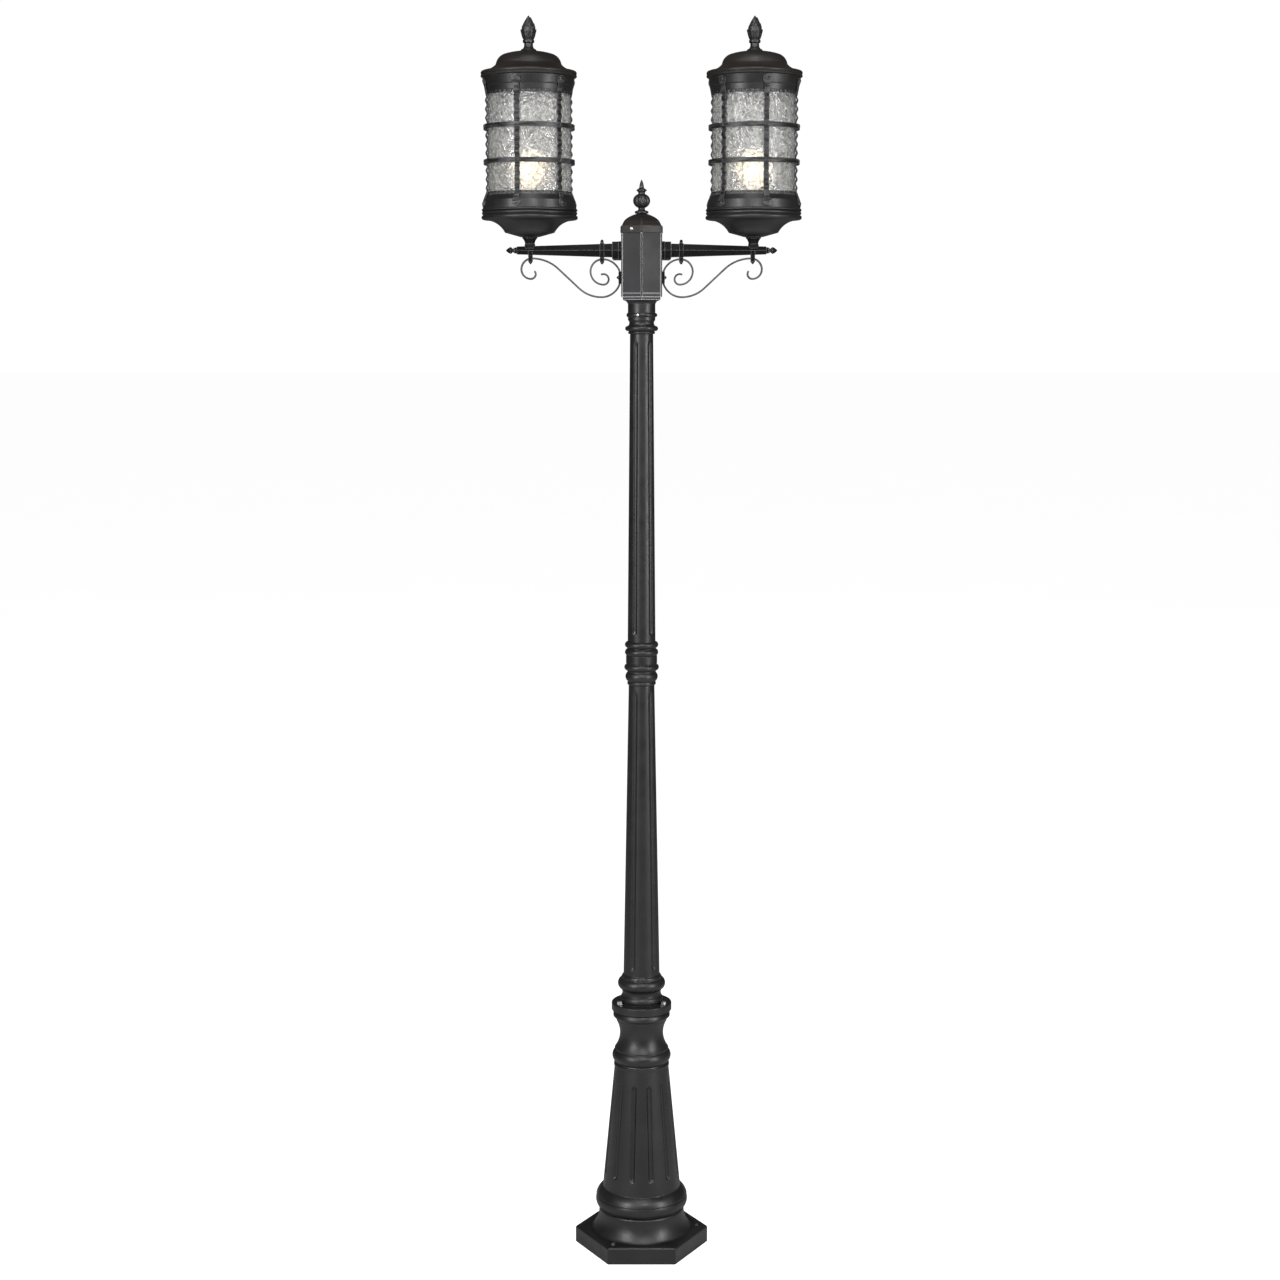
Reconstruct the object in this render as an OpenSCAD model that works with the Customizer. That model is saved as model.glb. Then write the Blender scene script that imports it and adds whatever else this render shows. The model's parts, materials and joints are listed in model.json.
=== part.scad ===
// Garden lamp post: two round lanterns on arms from a hexagonal head.
// Z is up, the ground is z = 0, the arms point along X and the front is -Y.

/* [Base casting] */
// Height of the hexagonal foot plate
foot_h = 34; // [24:1:50]
// From the bell to the middle of an anchor hole
anchor_land = 14; // [12:1:24]
// From the middle of an anchor hole to the plate's corner
anchor_edge = 20; // [18:1:40]
// Diameter of an anchor hole
anchor_hole_d = 11; // [8:0.5:14]
// Radius of the fluted cone at its foot
cone_foot_r = 75.6; // [66:0.1:95]
// Radius of the fluted cone at its top
cone_top_r = 52.4; // [50:0.1:62]
// Height of the fluted cone
cone_h = 244; // [190:1:320]
// Number of flutes round the cone
cone_flutes = 12; // [6:1:14]
// Wall of the casting
base_wall = 6; // [4:0.5:7]

/* [Poles] */
// Radius of the lower pole's shaft at its foot
lower_foot_r = 34.9; // [30:0.1:42]
// Radius of the lower pole's shaft at its top
lower_top_r = 24.4; // [20:0.1:29.5]
// Length of the lower pole's tapered shaft
lower_shaft_h = 566; // [420:1:720]
// Radius of the upper pole at its top
upper_top_r = 21.6; // [18:0.1:26]
// Length of the upper pole's tapered shaft
upper_shaft_h = 578; // [430:1:720]
// Number of flutes round each pole
pole_flutes = 5; // [3:1:6]
// Wall of both poles
pole_wall = 3.5; // [2.5:0.1:4]
// Radial clearance where one tube enters another
slip = 0.1; // [0.05:0.01:0.2]

/* [Head] */
// Width of the head box across its flats
box_af = 73.6; // [61:0.1:90]
// Height of the head box
box_h = 132; // [110:1:160]
// Wall of the head box
box_wall = 3; // [2:0.5:4]
// From the arms' axis to the top of the box
arm_drop = 41.6; // [34:0.1:50]
// Height of the head cap over the box
cap_dome_h = 26; // [20:1:34]

/* [Arms and scrolls] */
// From the post's axis to each lantern's axis
lantern_x = 207; // [172:1:250]
// Height of an arm at the head box
arm_root_af = 24.9; // [22:0.1:28]
// Height of an arm at its tip
arm_tip_af = 14.3; // [14:0.1:18]
// Thickness of the scroll's flat bar
bar_t = 3.7; // [3:0.1:4.5]
// Width of the scroll's flat bar
bar_w = 8; // [6:0.5:9]
// Slope of the scroll's straight stretch
scroll_slope = 43; // [40:1:50]

/* [Lanterns] */
// Outer radius of the glass
glass_r = 76.6; // [66:0.1:92]
// Wall of the glass
glass_wall = 3.8; // [3:0.1:5]
// Clear height of glass between the two bands
glass_view_h = 175; // [146:1:210]
// From an arm's axis up to the underside of the lantern pan
lantern_rise = 24.6; // [21:0.1:34]
// Number of straps round a lantern
straps_n = 6; // [3:1:8]
// Width of a strap
strap_w = 10; // [8:0.5:12]
// Thickness of a strap
strap_t = 2; // [1.5:0.1:2.4]
// Height of a hoop
hoop_h = 9; // [7:0.5:12]
// Thickness of a hoop
hoop_t = 2.3; // [1.5:0.1:3]
// Largest radius of the lamp's bulb
bulb_r = 30; // [24:0.5:34]

/* [Travel gaps] */
// Gap between two pieces that come apart or turn
gap = 0.3; // [0.2:0.05:0.4]
// Gap at a screw thread or running fit
fit = 0.05; // [0.02:0.01:0.1]

/* [Hidden] */
$fn = 64;
left = -1;
right = 1;

// Base casting: radii step out from the cone, heights stack from the ground.
bell_top_r = cone_foot_r + 7.4;
bell_foot_r = bell_top_r + 13;
anchor_r = bell_foot_r + anchor_land;
foot_corner_r = anchor_r + anchor_edge;
spigot_r = lower_foot_r + 3;
waist_r = spigot_r + 4.3;
band_r = spigot_r + 16.9;
bell_z = foot_h + 42;
groove_z = bell_z + 24;
cone_z = groove_z + 19;
ring_z = cone_z + cone_h;
bead_z = ring_z + 8;
waist_z = bead_z + 27;
band_z = waist_z + 64;
flange_z = band_z + 13;
spigot_h = 18;

// Lower pole
flange_r = band_r + 3.2;
flange_h = 15;
flange_bolt_r = spigot_r + 11;
shaft_z = flange_z + 71;
seam_low_z = shaft_z + lower_shaft_h;
collar_low_h = 26;
seam_z = seam_low_z + collar_low_h;
lower_end_r = lower_top_r - 1.9;
nipple_r = lower_end_r - 3;
nipple_wall = 4;
nipple_reach = 38;

// Upper pole
upper_foot_r = lower_top_r + 1.9;
collar_up_h = 57;
collar_web = 4;
upper_z = seam_z + collar_up_h;
socket_z = upper_z + upper_shaft_h;
upper_end_r = upper_top_r - 2.6;
socket_h = 63;
pole_end_h = 53;
set_screw_z = socket_z + 35;
set_screw_seat = 6.6;

// Head
box_z = socket_z + socket_h;
box_top_z = box_z + box_h;
box_lip_h = 5;
box_floor = 4;
cable_hole_r = 14;
cap_skirt_h = 13;
cap_skirt_lap = 10;
cap_wall = 2;
cap_z = box_top_z - cap_skirt_lap;
cap_top_z = box_top_z + cap_dome_h;
arm_z = box_top_z - arm_drop;
face_x = box_af / 2;

// Arms and scrolls, right-hand side
socket_flange_t = 6.2;
arm_socket_af = 32;
socket_ledge = [16, 16, 6];
socket_end_x = face_x + 17.8;
arm_spigot_r = 9;
cable_bore_r = 5.5;
arm_bolt_r = 2;
arm_bolt_y = arm_spigot_r + 3.4;
arm_end_x = lantern_x + 24;
coil_low_r = 36;
coil_high_r = 33.5;
curl_r = [22.5, 24, 9.7, 9.7];
tip_curl_r = [20, 17.5, 9, 7];
belly_x = face_x + 0.15 + bar_t / 2 + coil_low_r;
crest_x = lantern_x - 4;
coil_x = belly_x - coil_low_r + coil_high_r;
clamp_t = 1.6;
clamp_w = 8;
inner_clamp_x = coil_x + 1;
outer_clamp_x = lantern_x - 1;
belly_z = arm_z - arm_half(inner_clamp_x) - 2.3 - bar_t / 2 - coil_low_r - coil_high_r;
crest_z = arm_z - arm_half(outer_clamp_x) - 4.8 - bar_t / 2;
scroll_foot_z = belly_z + coil_low_r;

// Lantern, measured from its own axis
tube_r = 5;
tube_hole_r = tube_r + fit;
nut_af = 14;
nut_h = 4;
pan_z = arm_z + lantern_rise;
pan_h = 46;
pan_wall = 2.5;
rim_r = glass_r + 9.4;
pan_floor_r = 45;
low_band_z = pan_z + pan_h;
low_band_h = 35;
rope_h = 5;
knee_h = 21;
lip_r = glass_r + gap;
lip_wall = 1.6;
view_z = low_band_z + low_band_h;
high_band_z = view_z + glass_view_h;
high_band_h = 31;
band_top_z = high_band_z + high_band_h;
band_skirt_r = lip_r + lip_wall + 8;
band_knee_r = band_skirt_r - 2.5;
high_band_r = lip_r + lip_wall + 5.8;
gasket_z = low_band_z - 5;
gasket_h = 3;
glass_z = gasket_z + gasket_h;
glass_top_z = band_top_z - 12;

// Straps wave between the bands; a crest lies under each hoop.
wave_n = 4;
hoop_step = glass_view_h * 0.36;
hoop_z = [view_z + glass_view_h * 0.309, view_z + glass_view_h * 0.309 + hoop_step];
wave_pitch = hoop_step / wave_n;
wave_amp = 1.4;
wave_r = glass_r + gap + wave_amp + strap_t / 2 + 0.1;
crest_r = wave_r + wave_amp + strap_t / 2;
hoop_in_r = norm([crest_r, strap_w / 2]) + fit;
strap_first = 13.5;
spade_w = 17;
spade_tip = 7;
spade_tail = 9;
low_screw_z = low_band_z + 13;
high_screw_z = band_top_z - 7.6;
low_slope = -atan((band_skirt_r - band_knee_r) / (knee_h - rope_h));
high_slope = atan((high_band_r - lip_r - lip_wall) / high_band_h);
band_screw_r = 1.5;
rivet_r = 1.4;

// Lamp and holder
holder_z = pan_z + 27;
holder_floor = 10;
holder_h = 40;
holder_wall = 5;
lamp_cap_r = 13.3;
lamp_foot_z = holder_z + holder_floor + gap;
lamp_neck_z = holder_z + holder_h + 0.5;

// Bridge, lid and finial
bridge_t = 3;
bridge_w = 14;
bridge_z = glass_top_z + 2;
stud_r = 3;
stud_nut_af = 10;
stud_nut_h = 4;
lid_z = band_top_z + gap;
lid_rim_r = high_band_r + 3.7;
lid_rim_h = 11;
lid_h = 49.4;
lid_wall = 2;
finial_z = lid_z + lid_h + gap;
stud_top_z = finial_z + 17;

// ---------- helpers ----------

// Points of a circular arc from p to q that swells by h to the right of the way.
function bow(p, q, h, n = 6) =
    let (c = norm(q - p), r = (c * c / 4 + h * h) / (2 * h), half = asin(c / (2 * r)))
    let (u = (q - p) / c, w = [u[1], -u[0]], mid = (p + q) / 2 + w * (h - r))
    [for (i = [0 : n]) let (a = half * (2 * i / n - 1)) mid + r * (cos(a) * w + sin(a) * u)];

// The same list from its last point to its first.
function back(list) = [for (i = [len(list) - 1 : -1 : 0]) list[i]];

// Circumradius of a hexagon from its width across flats.
function hex_r(af) = af / 2 / cos(30);

// Half the height of the arm's bar at a distance x from the post's axis.
function arm_half(x) =
    (arm_root_af + (arm_tip_af - arm_root_af) * (x - socket_end_x) / (arm_end_x - socket_end_x)) / 2;

// Outer radius of the lower band at height z.
function low_band_at(z) =
    z < low_band_z + knee_h
    ? band_skirt_r - (band_skirt_r - band_knee_r) * (z - low_band_z - rope_h) / (knee_h - rope_h)
    : band_knee_r - (band_knee_r - lip_r - lip_wall) * (z - low_band_z - knee_h) / (low_band_h - knee_h);

// Outer radius of the upper band at height z.
function high_band_at(z) =
    lip_r + lip_wall + (high_band_r - lip_r - lip_wall) * (z - high_band_z) / high_band_h;

// A turned piece from an outline of [radius, z] points.
module turned(points) {
    rotate_extrude() polygon(points);
}

// A plain ring.
module ring(r_out, r_in, z, h) {
    translate([0, 0, z]) difference() {
        cylinder(r = r_out, h = h);
        translate([0, 0, -1]) cylinder(r = r_in, h = h + 2);
    }
}

// A hexagonal prism with flats on +X and -X.
module hex_bar(af, z, h) {
    translate([0, 0, z]) rotate(30) cylinder(r = hex_r(af), h = h, $fn = 6);
}

// Mirrors its children to the left side of the post when side is left.
module on_side(side) {
    mirror([side < 0 ? 1 : 0, 0, 0]) children();
}

// Places its children on the lantern's axis of the given side.
module on_lantern(side) {
    on_side(side) translate([lantern_x, 0, 0]) children();
}

// Repeats its children n times round the axis, starting at angle a.
module around(n, a = 0) {
    for (i = [0 : n - 1]) rotate(a + 360 * i / n) children();
}

// Copies its children round the lantern where its straps run.
module at_straps() {
    around(straps_n, strap_first - 90) children();
}

// Places its children on the x-z wall line at radius r, tilted by the wall's slope.
module on_wall(r, z, slope = 0) {
    translate([r, 0, z]) rotate([0, 90 + slope, 0]) children();
}

// Round-ended cutter that leaves a flute of the given width and depth in a tapered wall.
module flute_cutters(n, first, w, d, low, high, inset) {
    lean = atan2(high[0] - low[0], high[1] - low[1]);
    run = norm(high - low) - 2 * inset;
    r = (w * w / 4 + d * d) / (2 * d);
    mid = (low + high) / 2 + (r - d) * [cos(lean), -sin(lean)];
    swell = r * (1 - cos(45));
    capsule = concat(
        bow([0, -run / 2 - r], [r, -run / 2], swell, 4),
        bow([r, run / 2], [0, run / 2 + r], swell, 4));
    around(n, first) translate([mid[0], 0, mid[1]]) rotate([0, lean, 0])
        rotate_extrude($fn = 24) polygon(capsule);
}

// A bar of hexagonal section along X with flats above and below, tapered from x0 to x1.
module hex_taper(x0, x1, extra = 0) {
    h0 = arm_half(x0) + extra;
    h1 = arm_half(x1) + extra;
    translate([0, 0, arm_z]) intersection_for(a = [0, 60, 120]) rotate([a, 0, 0])
        rotate([90, 0, 0]) linear_extrude(height = 80, center = true)
            polygon([[x0, -h0], [x1, -h1], [x1, h1], [x0, h0]]);
}

// A hexagon nut or washer-like piece on the Z axis.
module nut(af, bore_r, z, h) {
    difference() {
        translate([0, 0, z]) cylinder(r = hex_r(af), h = h, $fn = 6);
        translate([0, 0, z - 1]) cylinder(r = bore_r, h = h + 2);
    }
}

// A domed screw or rivet head of radius r and height h on the plane z = 0.
module dome_head(r, h) {
    turned(concat([[0, 0]], bow([r, 0], [0, h], h * 0.35, 4)));
}

// ---------- base and poles ----------

module base_casting() {
    top_r = cone_foot_r + 1.4;
    outside = concat(
        [[bell_foot_r, foot_h - 1]],
        bow([bell_foot_r, foot_h], [bell_top_r, bell_z - 2], -4),
        bow([bell_top_r - 1.5, bell_z], [top_r + 11, groove_z], 4.2, 8),
        bow([top_r + 11.8, groove_z + 1.8], [top_r, cone_z - 1], 1.8, 6),
        [[cone_foot_r, cone_z], [cone_top_r, ring_z], [cone_top_r + 1.2, ring_z],
         [cone_top_r + 1.2, ring_z + 5], [cone_top_r - 1, ring_z + 5]],
        bow([cone_top_r - 2, bead_z], [cone_top_r - 1.5, waist_z - 3], 6.2, 8),
        [[cone_top_r - 1.5, waist_z]],
        bow([cone_top_r, waist_z], [waist_r + 5.8, band_z - 10], -8, 10),
        bow([waist_r + 6.5, band_z - 9], [band_r, band_z], -1.5, 4),
        [[band_r, flange_z]]);
    inside = [
        [spigot_r + slip, flange_z], [spigot_r + slip, flange_z - spigot_h - 2],
        [waist_r - base_wall, flange_z - spigot_h - 2], [waist_r - base_wall, waist_z + 32],
        [cone_top_r - 2 - base_wall, waist_z], [cone_top_r - base_wall, ring_z],
        [cone_foot_r - base_wall, cone_z], [cone_foot_r, cone_z - 12],
        [cone_foot_r, bell_z], [bell_top_r - base_wall, foot_h],
        [bell_foot_r - base_wall, foot_h - base_wall - 2], [bell_foot_r - base_wall, -1],
        [0, -1], [0, flange_z]];
    color("#26272a") difference() {
        union() {
            cylinder(r = foot_corner_r, h = foot_h, $fn = 6);
            turned(concat(outside, [[0, flange_z], [0, foot_h - 1]]));
        }
        turned(inside);
        flute_cutters(cone_flutes, -75, 10, 2.6, [cone_foot_r, cone_z], [cone_top_r, ring_z], 34);
        around(3) translate([anchor_r, 0, -1]) cylinder(d = anchor_hole_d, h = foot_h + 2);
        around(3, -30) translate([flange_bolt_r, 0, flange_z - 13]) cylinder(r = 3 + fit, h = 14);
    }
}

module lower_pole() {
    foot_top = flange_z + flange_h;
    outside = concat(
        [[spigot_r, flange_z - spigot_h], [spigot_r, flange_z], [flange_r, flange_z],
         [flange_r, foot_top - 1.5], [flange_r - 1.5, foot_top]],
        bow([spigot_r + 1.5, foot_top], [spigot_r, foot_top + 14], 2.6),
        bow([spigot_r, foot_top + 15], [spigot_r + 1, foot_top + 26], -1),
        bow([spigot_r + 2.5, foot_top + 27], [spigot_r + 1.5, shaft_z - 8], 6, 8),
        [[spigot_r + 1.5, shaft_z - 6]],
        bow([spigot_r + 0.5, shaft_z - 6], [lower_foot_r + 1.2, shaft_z - 1], 0.6, 3),
        [[lower_foot_r, shaft_z], [lower_top_r, seam_low_z], [lower_end_r, seam_low_z],
         [lower_end_r, seam_z - 2]]);
    inside = [
        [nipple_r + slip, seam_z - 2], [nipple_r + slip, seam_z - nipple_reach - 2],
        [lower_foot_r - pole_wall, shaft_z], [lower_foot_r - pole_wall, flange_z - spigot_h]];
    color("#26272a") difference() {
        turned(concat(outside, inside));
        flute_cutters(pole_flutes, -47, 9, 2, [lower_foot_r, shaft_z], [lower_top_r, seam_low_z], 18);
        around(3, -30) translate([flange_bolt_r, 0, flange_z - 1]) cylinder(r = 3 + fit, h = flange_h + 2);
    }
}

module flange_bolts() {
    head_z = flange_z + flange_h;
    color("silver") around(3, -30) translate([flange_bolt_r, 0, 0]) {
        translate([0, 0, flange_z - 12]) cylinder(r = 3, h = flange_h + 13);
        translate([0, 0, head_z]) cylinder(r = 5.2, h = 1.4);
        translate([0, 0, head_z + 1.3]) cylinder(r = hex_r(9), h = 5, $fn = 6);
    }
}

module lower_collar() {
    outside = concat(
        bow([lower_top_r + 1.2, seam_low_z], [lower_top_r + 1.4, seam_low_z + 7], 1.5, 4),
        bow([lower_top_r + 2.8, seam_low_z + 8], [lower_top_r + 2.6, seam_z - 1.5], 3.6, 8),
        [[lower_top_r + 2.4, seam_z]]);
    color("#26272a") turned(concat(outside,
        [[lower_end_r + slip, seam_z], [lower_end_r + slip, seam_low_z]]));
}

module upper_collar() {
    r = upper_foot_r + 1;
    plain_r = upper_foot_r + 3.2;
    spigot = upper_foot_r - 3.8 + slip;
    outside = concat(
        [[r, seam_z], [r, seam_z + 1.5]],
        bow([r + 0.6, seam_z + 2], [plain_r - 1, seam_z + 14], 4.6, 8),
        [[plain_r, seam_z + 16], [plain_r, seam_z + 30]],
        bow([plain_r - 1, seam_z + 31], [r + 0.6, seam_z + 43], 3.4, 8),
        [[r, seam_z + 43.5], [r, seam_z + 45]],
        bow([r + 0.4, seam_z + 45.5], [r + 0.2, upper_z], 4.1, 8));
    color("#26272a") turned(concat(outside,
        [[spigot, upper_z], [spigot, seam_z + collar_web], [nipple_r + slip, seam_z + collar_web],
         [nipple_r + slip, seam_z]]));
}

module coupling_nipple() {
    color("gray") ring(nipple_r, nipple_r - nipple_wall, seam_z - nipple_reach, 2 * nipple_reach);
}

module upper_pole() {
    spigot = upper_foot_r - 3.8;
    outside = [
        [spigot, seam_z + collar_web], [spigot, upper_z], [upper_foot_r, upper_z],
        [upper_top_r, socket_z], [upper_end_r, socket_z], [upper_end_r, socket_z + pole_end_h]];
    inside = [
        [upper_end_r - pole_wall, socket_z + pole_end_h], [upper_end_r - pole_wall, socket_z],
        [nipple_r + slip, upper_z], [nipple_r + slip, seam_z + collar_web]];
    color("#26272a") difference() {
        turned(concat(outside, inside));
        flute_cutters(pole_flutes, -47, 8, 1.7, [upper_foot_r, upper_z], [upper_top_r, socket_z], 20);
    }
}

// ---------- head ----------

module head_socket() {
    r = upper_top_r;
    outside = concat(
        bow([r + 1.9, socket_z], [r + 2, socket_z + 5], 1.5, 4),
        bow([r + 4.4, socket_z + 5.5], [r + 4.4, socket_z + 15], 4.7, 8),
        bow([r + 3, socket_z + 16], [r + 3, socket_z + 25], -1.6, 5),
        [[r + 3.8, socket_z + 25], [r + 3.8, socket_z + 31]],
        bow([r + 4.4, socket_z + 31], [r + 4.4, socket_z + 39], 2.2, 6),
        [[r + 3.9, socket_z + 39], [r + 3.9, socket_z + 56]],
        bow([r + 4.4, socket_z + 56], [r + 12.4, box_z - 1], -1.6, 5),
        [[r + 12.4, box_z]]);
    inside = [
        [upper_end_r - pole_wall, box_z], [upper_end_r - pole_wall, socket_z + pole_end_h],
        [upper_end_r + slip, socket_z + pole_end_h], [upper_end_r + slip, socket_z]];
    color("#26272a") difference() {
        turned(concat(outside, inside));
        around(3, -106) on_wall(upper_end_r - 1, set_screw_z) cylinder(r = 2 + fit, h = 14);
    }
}

module socket_screws() {
    color("silver") around(3, -106) {
        on_wall(upper_end_r + fit, set_screw_z)
            cylinder(r = 2, h = upper_top_r + set_screw_seat - upper_end_r);
        on_wall(upper_top_r + set_screw_seat + fit, set_screw_z) dome_head(3.2, 1.8);
    }
}

module head_box() {
    corner_r = hex_r(box_af) - 0.6;
    color("#46474a") difference() {
        union() {
            hex_bar(box_af - 3.6, box_z, box_lip_h);
            hex_bar(box_af, box_z + box_lip_h - 0.01, box_h - box_lip_h + 0.01);
            hex_bar(box_af + 0.9, box_z + 11, 1.4);
            around(6, 30) translate([corner_r, 0, box_z + box_lip_h])
                cylinder(r = 1.7, h = cap_z - box_z - box_lip_h - 1, $fn = 24);
        }
        hex_bar(box_af - 2 * box_wall, box_z + box_floor, box_h);
        translate([0, 0, box_z - 1]) cylinder(r = cable_hole_r, h = box_floor + 2);
        for (s = [0, 180]) rotate(s) {
            on_wall(face_x - box_wall - 1, arm_z) cylinder(r = cable_bore_r, h = box_wall + 3);
            for (y = [-1, 1]) translate([0, y * arm_bolt_y, 0])
                on_wall(face_x - box_wall - 1, arm_z) cylinder(r = arm_bolt_r + fit, h = box_wall + 3);
        }
    }
}

module terminal_block() {
    block = [26, 13, 17];
    inner_corner_r = hex_r(box_af - 2 * box_wall);
    block_y = inner_corner_r - block[0] / 2 / tan(60) - block[1] / 2 - 0.5;
    color("ivory") difference() {
        translate([-block[0] / 2, block_y - block[1] / 2, box_z + box_floor]) cube(block);
        for (i = [-1 : 1]) translate([i * 8, block_y, box_z + box_floor + 8]) {
            cylinder(r = 2, h = 12);
            rotate([90, 0, 0]) cylinder(r = 1.8, h = 30, center = true);
        }
    }
}

module arm_bolts() {
    color("silver") for (s = [0, 180], y = [-1, 1]) rotate(s) translate([0, y * arm_bolt_y, 0]) {
        on_wall(face_x - box_wall - 0.1, arm_z) cylinder(r = arm_bolt_r, h = box_wall + 12);
        on_wall(face_x - box_wall - 3, arm_z) cylinder(r = 3.4, h = 3);
    }
}

// Half outline of the cap across its flats: [half width, height above the skirt].
function dome_line(half, drop) =
    [for (p = [[1, -0.04], [1, 0], [0.945, 0.2], [0.86, 0.43], [0.68, 0.66], [0.39, 0.89], [0.2, 1]])
        [half * p[0], (cap_dome_h - 3 - drop) * p[1]]];

// Hexagonal dome made of three crossing vaults.
module hex_dome(half, drop, z) {
    line = dome_line(half, drop);
    intersection_for(a = [0, 60, 120]) rotate(a) translate([0, 0, z]) rotate([90, 0, 0])
        linear_extrude(height = 4 * half, center = true)
            polygon(concat(line, [for (p = back(line)) [-p[0], p[1]]]));
}

module head_cap() {
    skirt_in = box_af + 2 * gap;
    skirt_out = skirt_in + 2 * cap_wall;
    dome_z = box_top_z + 3;
    color("#3a302b") difference() {
        union() {
            hex_bar(skirt_out, cap_z, cap_skirt_h - 2);
            hex_bar(skirt_out - 1.6, cap_z + cap_skirt_h - 2.01, 2.01);
            hex_dome(skirt_out / 2 - 2.6, 0, dome_z);
        }
        hex_bar(skirt_in, cap_z - 1, cap_skirt_lap + gap + 1);
        hex_bar(box_af - 2 * box_wall - 1, box_top_z - 1, 4.01);
        hex_dome(box_af / 2 - box_wall - 0.5, cap_wall, dome_z);
        translate([0, 0, cap_top_z - 12]) cylinder(r = stud_r + fit, h = 14);
        for (a = [60, 240]) rotate(a) on_wall(face_x - 1, cap_z + 7) cylinder(r = 2 + fit, h = 6);
    }
}

module cap_screws() {
    head_x = face_x + gap + cap_wall;
    color("silver") for (a = [60, 240]) rotate(a) {
        on_wall(face_x + gap, cap_z + 7) cylinder(r = 2, h = cap_wall + 0.5);
        on_wall(head_x + fit, cap_z + 7) dome_head(3.6, 2);
    }
}

module cap_finial() {
    z = cap_top_z;
    outline = concat(
        [[0, z - 8], [stud_r, z - 8], [stud_r, z], [12.5, z]],
        bow([12.5, z + 0.5], [11, z + 4.5], 1, 3),
        bow([8, z + 5], [6.5, z + 10], -1, 3),
        bow([7, z + 10.5], [6.5, z + 35], 9.2, 8),
        bow([6.2, z + 36], [10, z + 41], -1.2, 4),
        [[9, z + 43], [4.6, z + 46]],
        bow([4.4, z + 47], [0, z + 62], 0.8, 4));
    color("#2a2a2c") turned(outline);
}

// ---------- arms and scrolls ----------

module arm_socket(side) {
    color("#1c1c1e") on_side(side) difference() {
        union() {
            translate([face_x, 0, arm_z]) rotate([0, 90, 0]) {
                hex_bar(arm_socket_af + 1, 0, socket_flange_t);
                hex_bar(arm_socket_af, 0, socket_end_x - face_x);
            }
            translate([face_x, -socket_ledge[1] / 2, arm_z - arm_socket_af / 2 - 2]) cube(socket_ledge);
        }
        on_wall(face_x - 1, arm_z) cylinder(r = arm_spigot_r + slip, h = 30);
        for (y = [-1, 1]) translate([0, y * arm_bolt_y, 0])
            on_wall(face_x - 1, arm_z) cylinder(r = arm_bolt_r + fit, h = 13.1);
    }
}

module arm(side) {
    spigot_x = face_x + 0.5;
    color("#1c1c1e") on_side(side) difference() {
        union() {
            on_wall(spigot_x, arm_z) cylinder(r = arm_spigot_r, h = socket_end_x - spigot_x + 1);
            hex_taper(socket_end_x, arm_end_x);
            on_wall(arm_end_x - 1, arm_z) cylinder(r = 5.6, h = 5);
        }
        on_wall(spigot_x - 1, arm_z) cylinder(r = cable_bore_r, h = lantern_x - spigot_x + 7);
        translate([lantern_x, 0, arm_z]) cylinder(r = tube_hole_r, h = 40);
        on_wall(arm_end_x - 4, arm_z) cylinder(r = 2.5 + fit, h = 20);
    }
}

module arm_tip(side) {
    x = arm_end_x + 4;
    color("#1c1c1e") on_side(side) on_wall(0, arm_z) turned(concat(
        [[0, x - 7], [2.5, x - 7], [2.5, x], [5, x], [5, x + 1.5], [3.4, x + 2.5]],
        bow([3.6, x + 4.5], [5.6, x + 6.5], 0.5, 3),
        bow([6.4, x + 7.5], [0, x + 16.6], 0.9, 4)));
}

// Walks along tangent arcs: steps are [radius, turn] or, with turn 0, [length, 0].
function walk(p, heading, steps, i = 0) =
    i >= len(steps) ? [p] :
    let (s = steps[i][0], turn = steps[i][1], k = turn == 0 ? 1 : ceil(abs(turn) / 12))
    let (side = sign(turn), hub = p + side * s * [-sin(heading), cos(heading)])
    let (path = turn == 0 ? [p, p + s * [cos(heading), sin(heading)]] :
        [for (j = [0 : k]) hub + side * s * [sin(heading + turn * j / k), -cos(heading + turn * j / k)]])
    concat([for (j = [0 : k - 1]) path[j]], walk(path[k], heading + turn, steps, i + 1));

// Both edges of a flat bar of thickness t along a path.
function bar_outline(path, t) =
    let (n = len(path) - 1)
    let (side = [for (i = [0 : n])
        let (d = path[min(i + 1, n)] - path[max(i - 1, 0)]) [-d[1], d[0]] / norm(d)])
    concat(
        [for (i = [0 : n]) path[i] + side[i] * t / 2],
        [for (i = [n : -1 : 0]) path[i] - side[i] * t / 2]);

// The scroll's middle line: an inner coil, a straight rise between two bends, and a curl at the end.
function scroll_path() =
    let (run = crest_x - belly_x, rise = crest_z - belly_z)
    let (bends = (run * sin(scroll_slope) - rise * cos(scroll_slope)) / (1 - cos(scroll_slope)))
    let (straight = (run - bends * sin(scroll_slope)) / cos(scroll_slope))
    let (coil = walk([belly_x, belly_z], 180, [[coil_low_r, -90], [coil_high_r, -90], [curl_r[0], -90],
        [curl_r[1], -90], [curl_r[2], -90], [curl_r[3], -120]]))
    let (sweep = walk([belly_x, belly_z], 0, [[0.46 * bends, scroll_slope], [straight, 0],
        [0.54 * bends, -scroll_slope], [tip_curl_r[0], -90], [tip_curl_r[1], -90],
        [tip_curl_r[2], -90], [tip_curl_r[3], -50]]))
    concat(back(coil), [for (i = [1 : len(sweep) - 1]) sweep[i]]);

module scroll(side) {
    color("#3c3d40") on_side(side) rotate([90, 0, 0])
        linear_extrude(height = bar_w, center = true) polygon(bar_outline(scroll_path(), bar_t));
}

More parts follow.
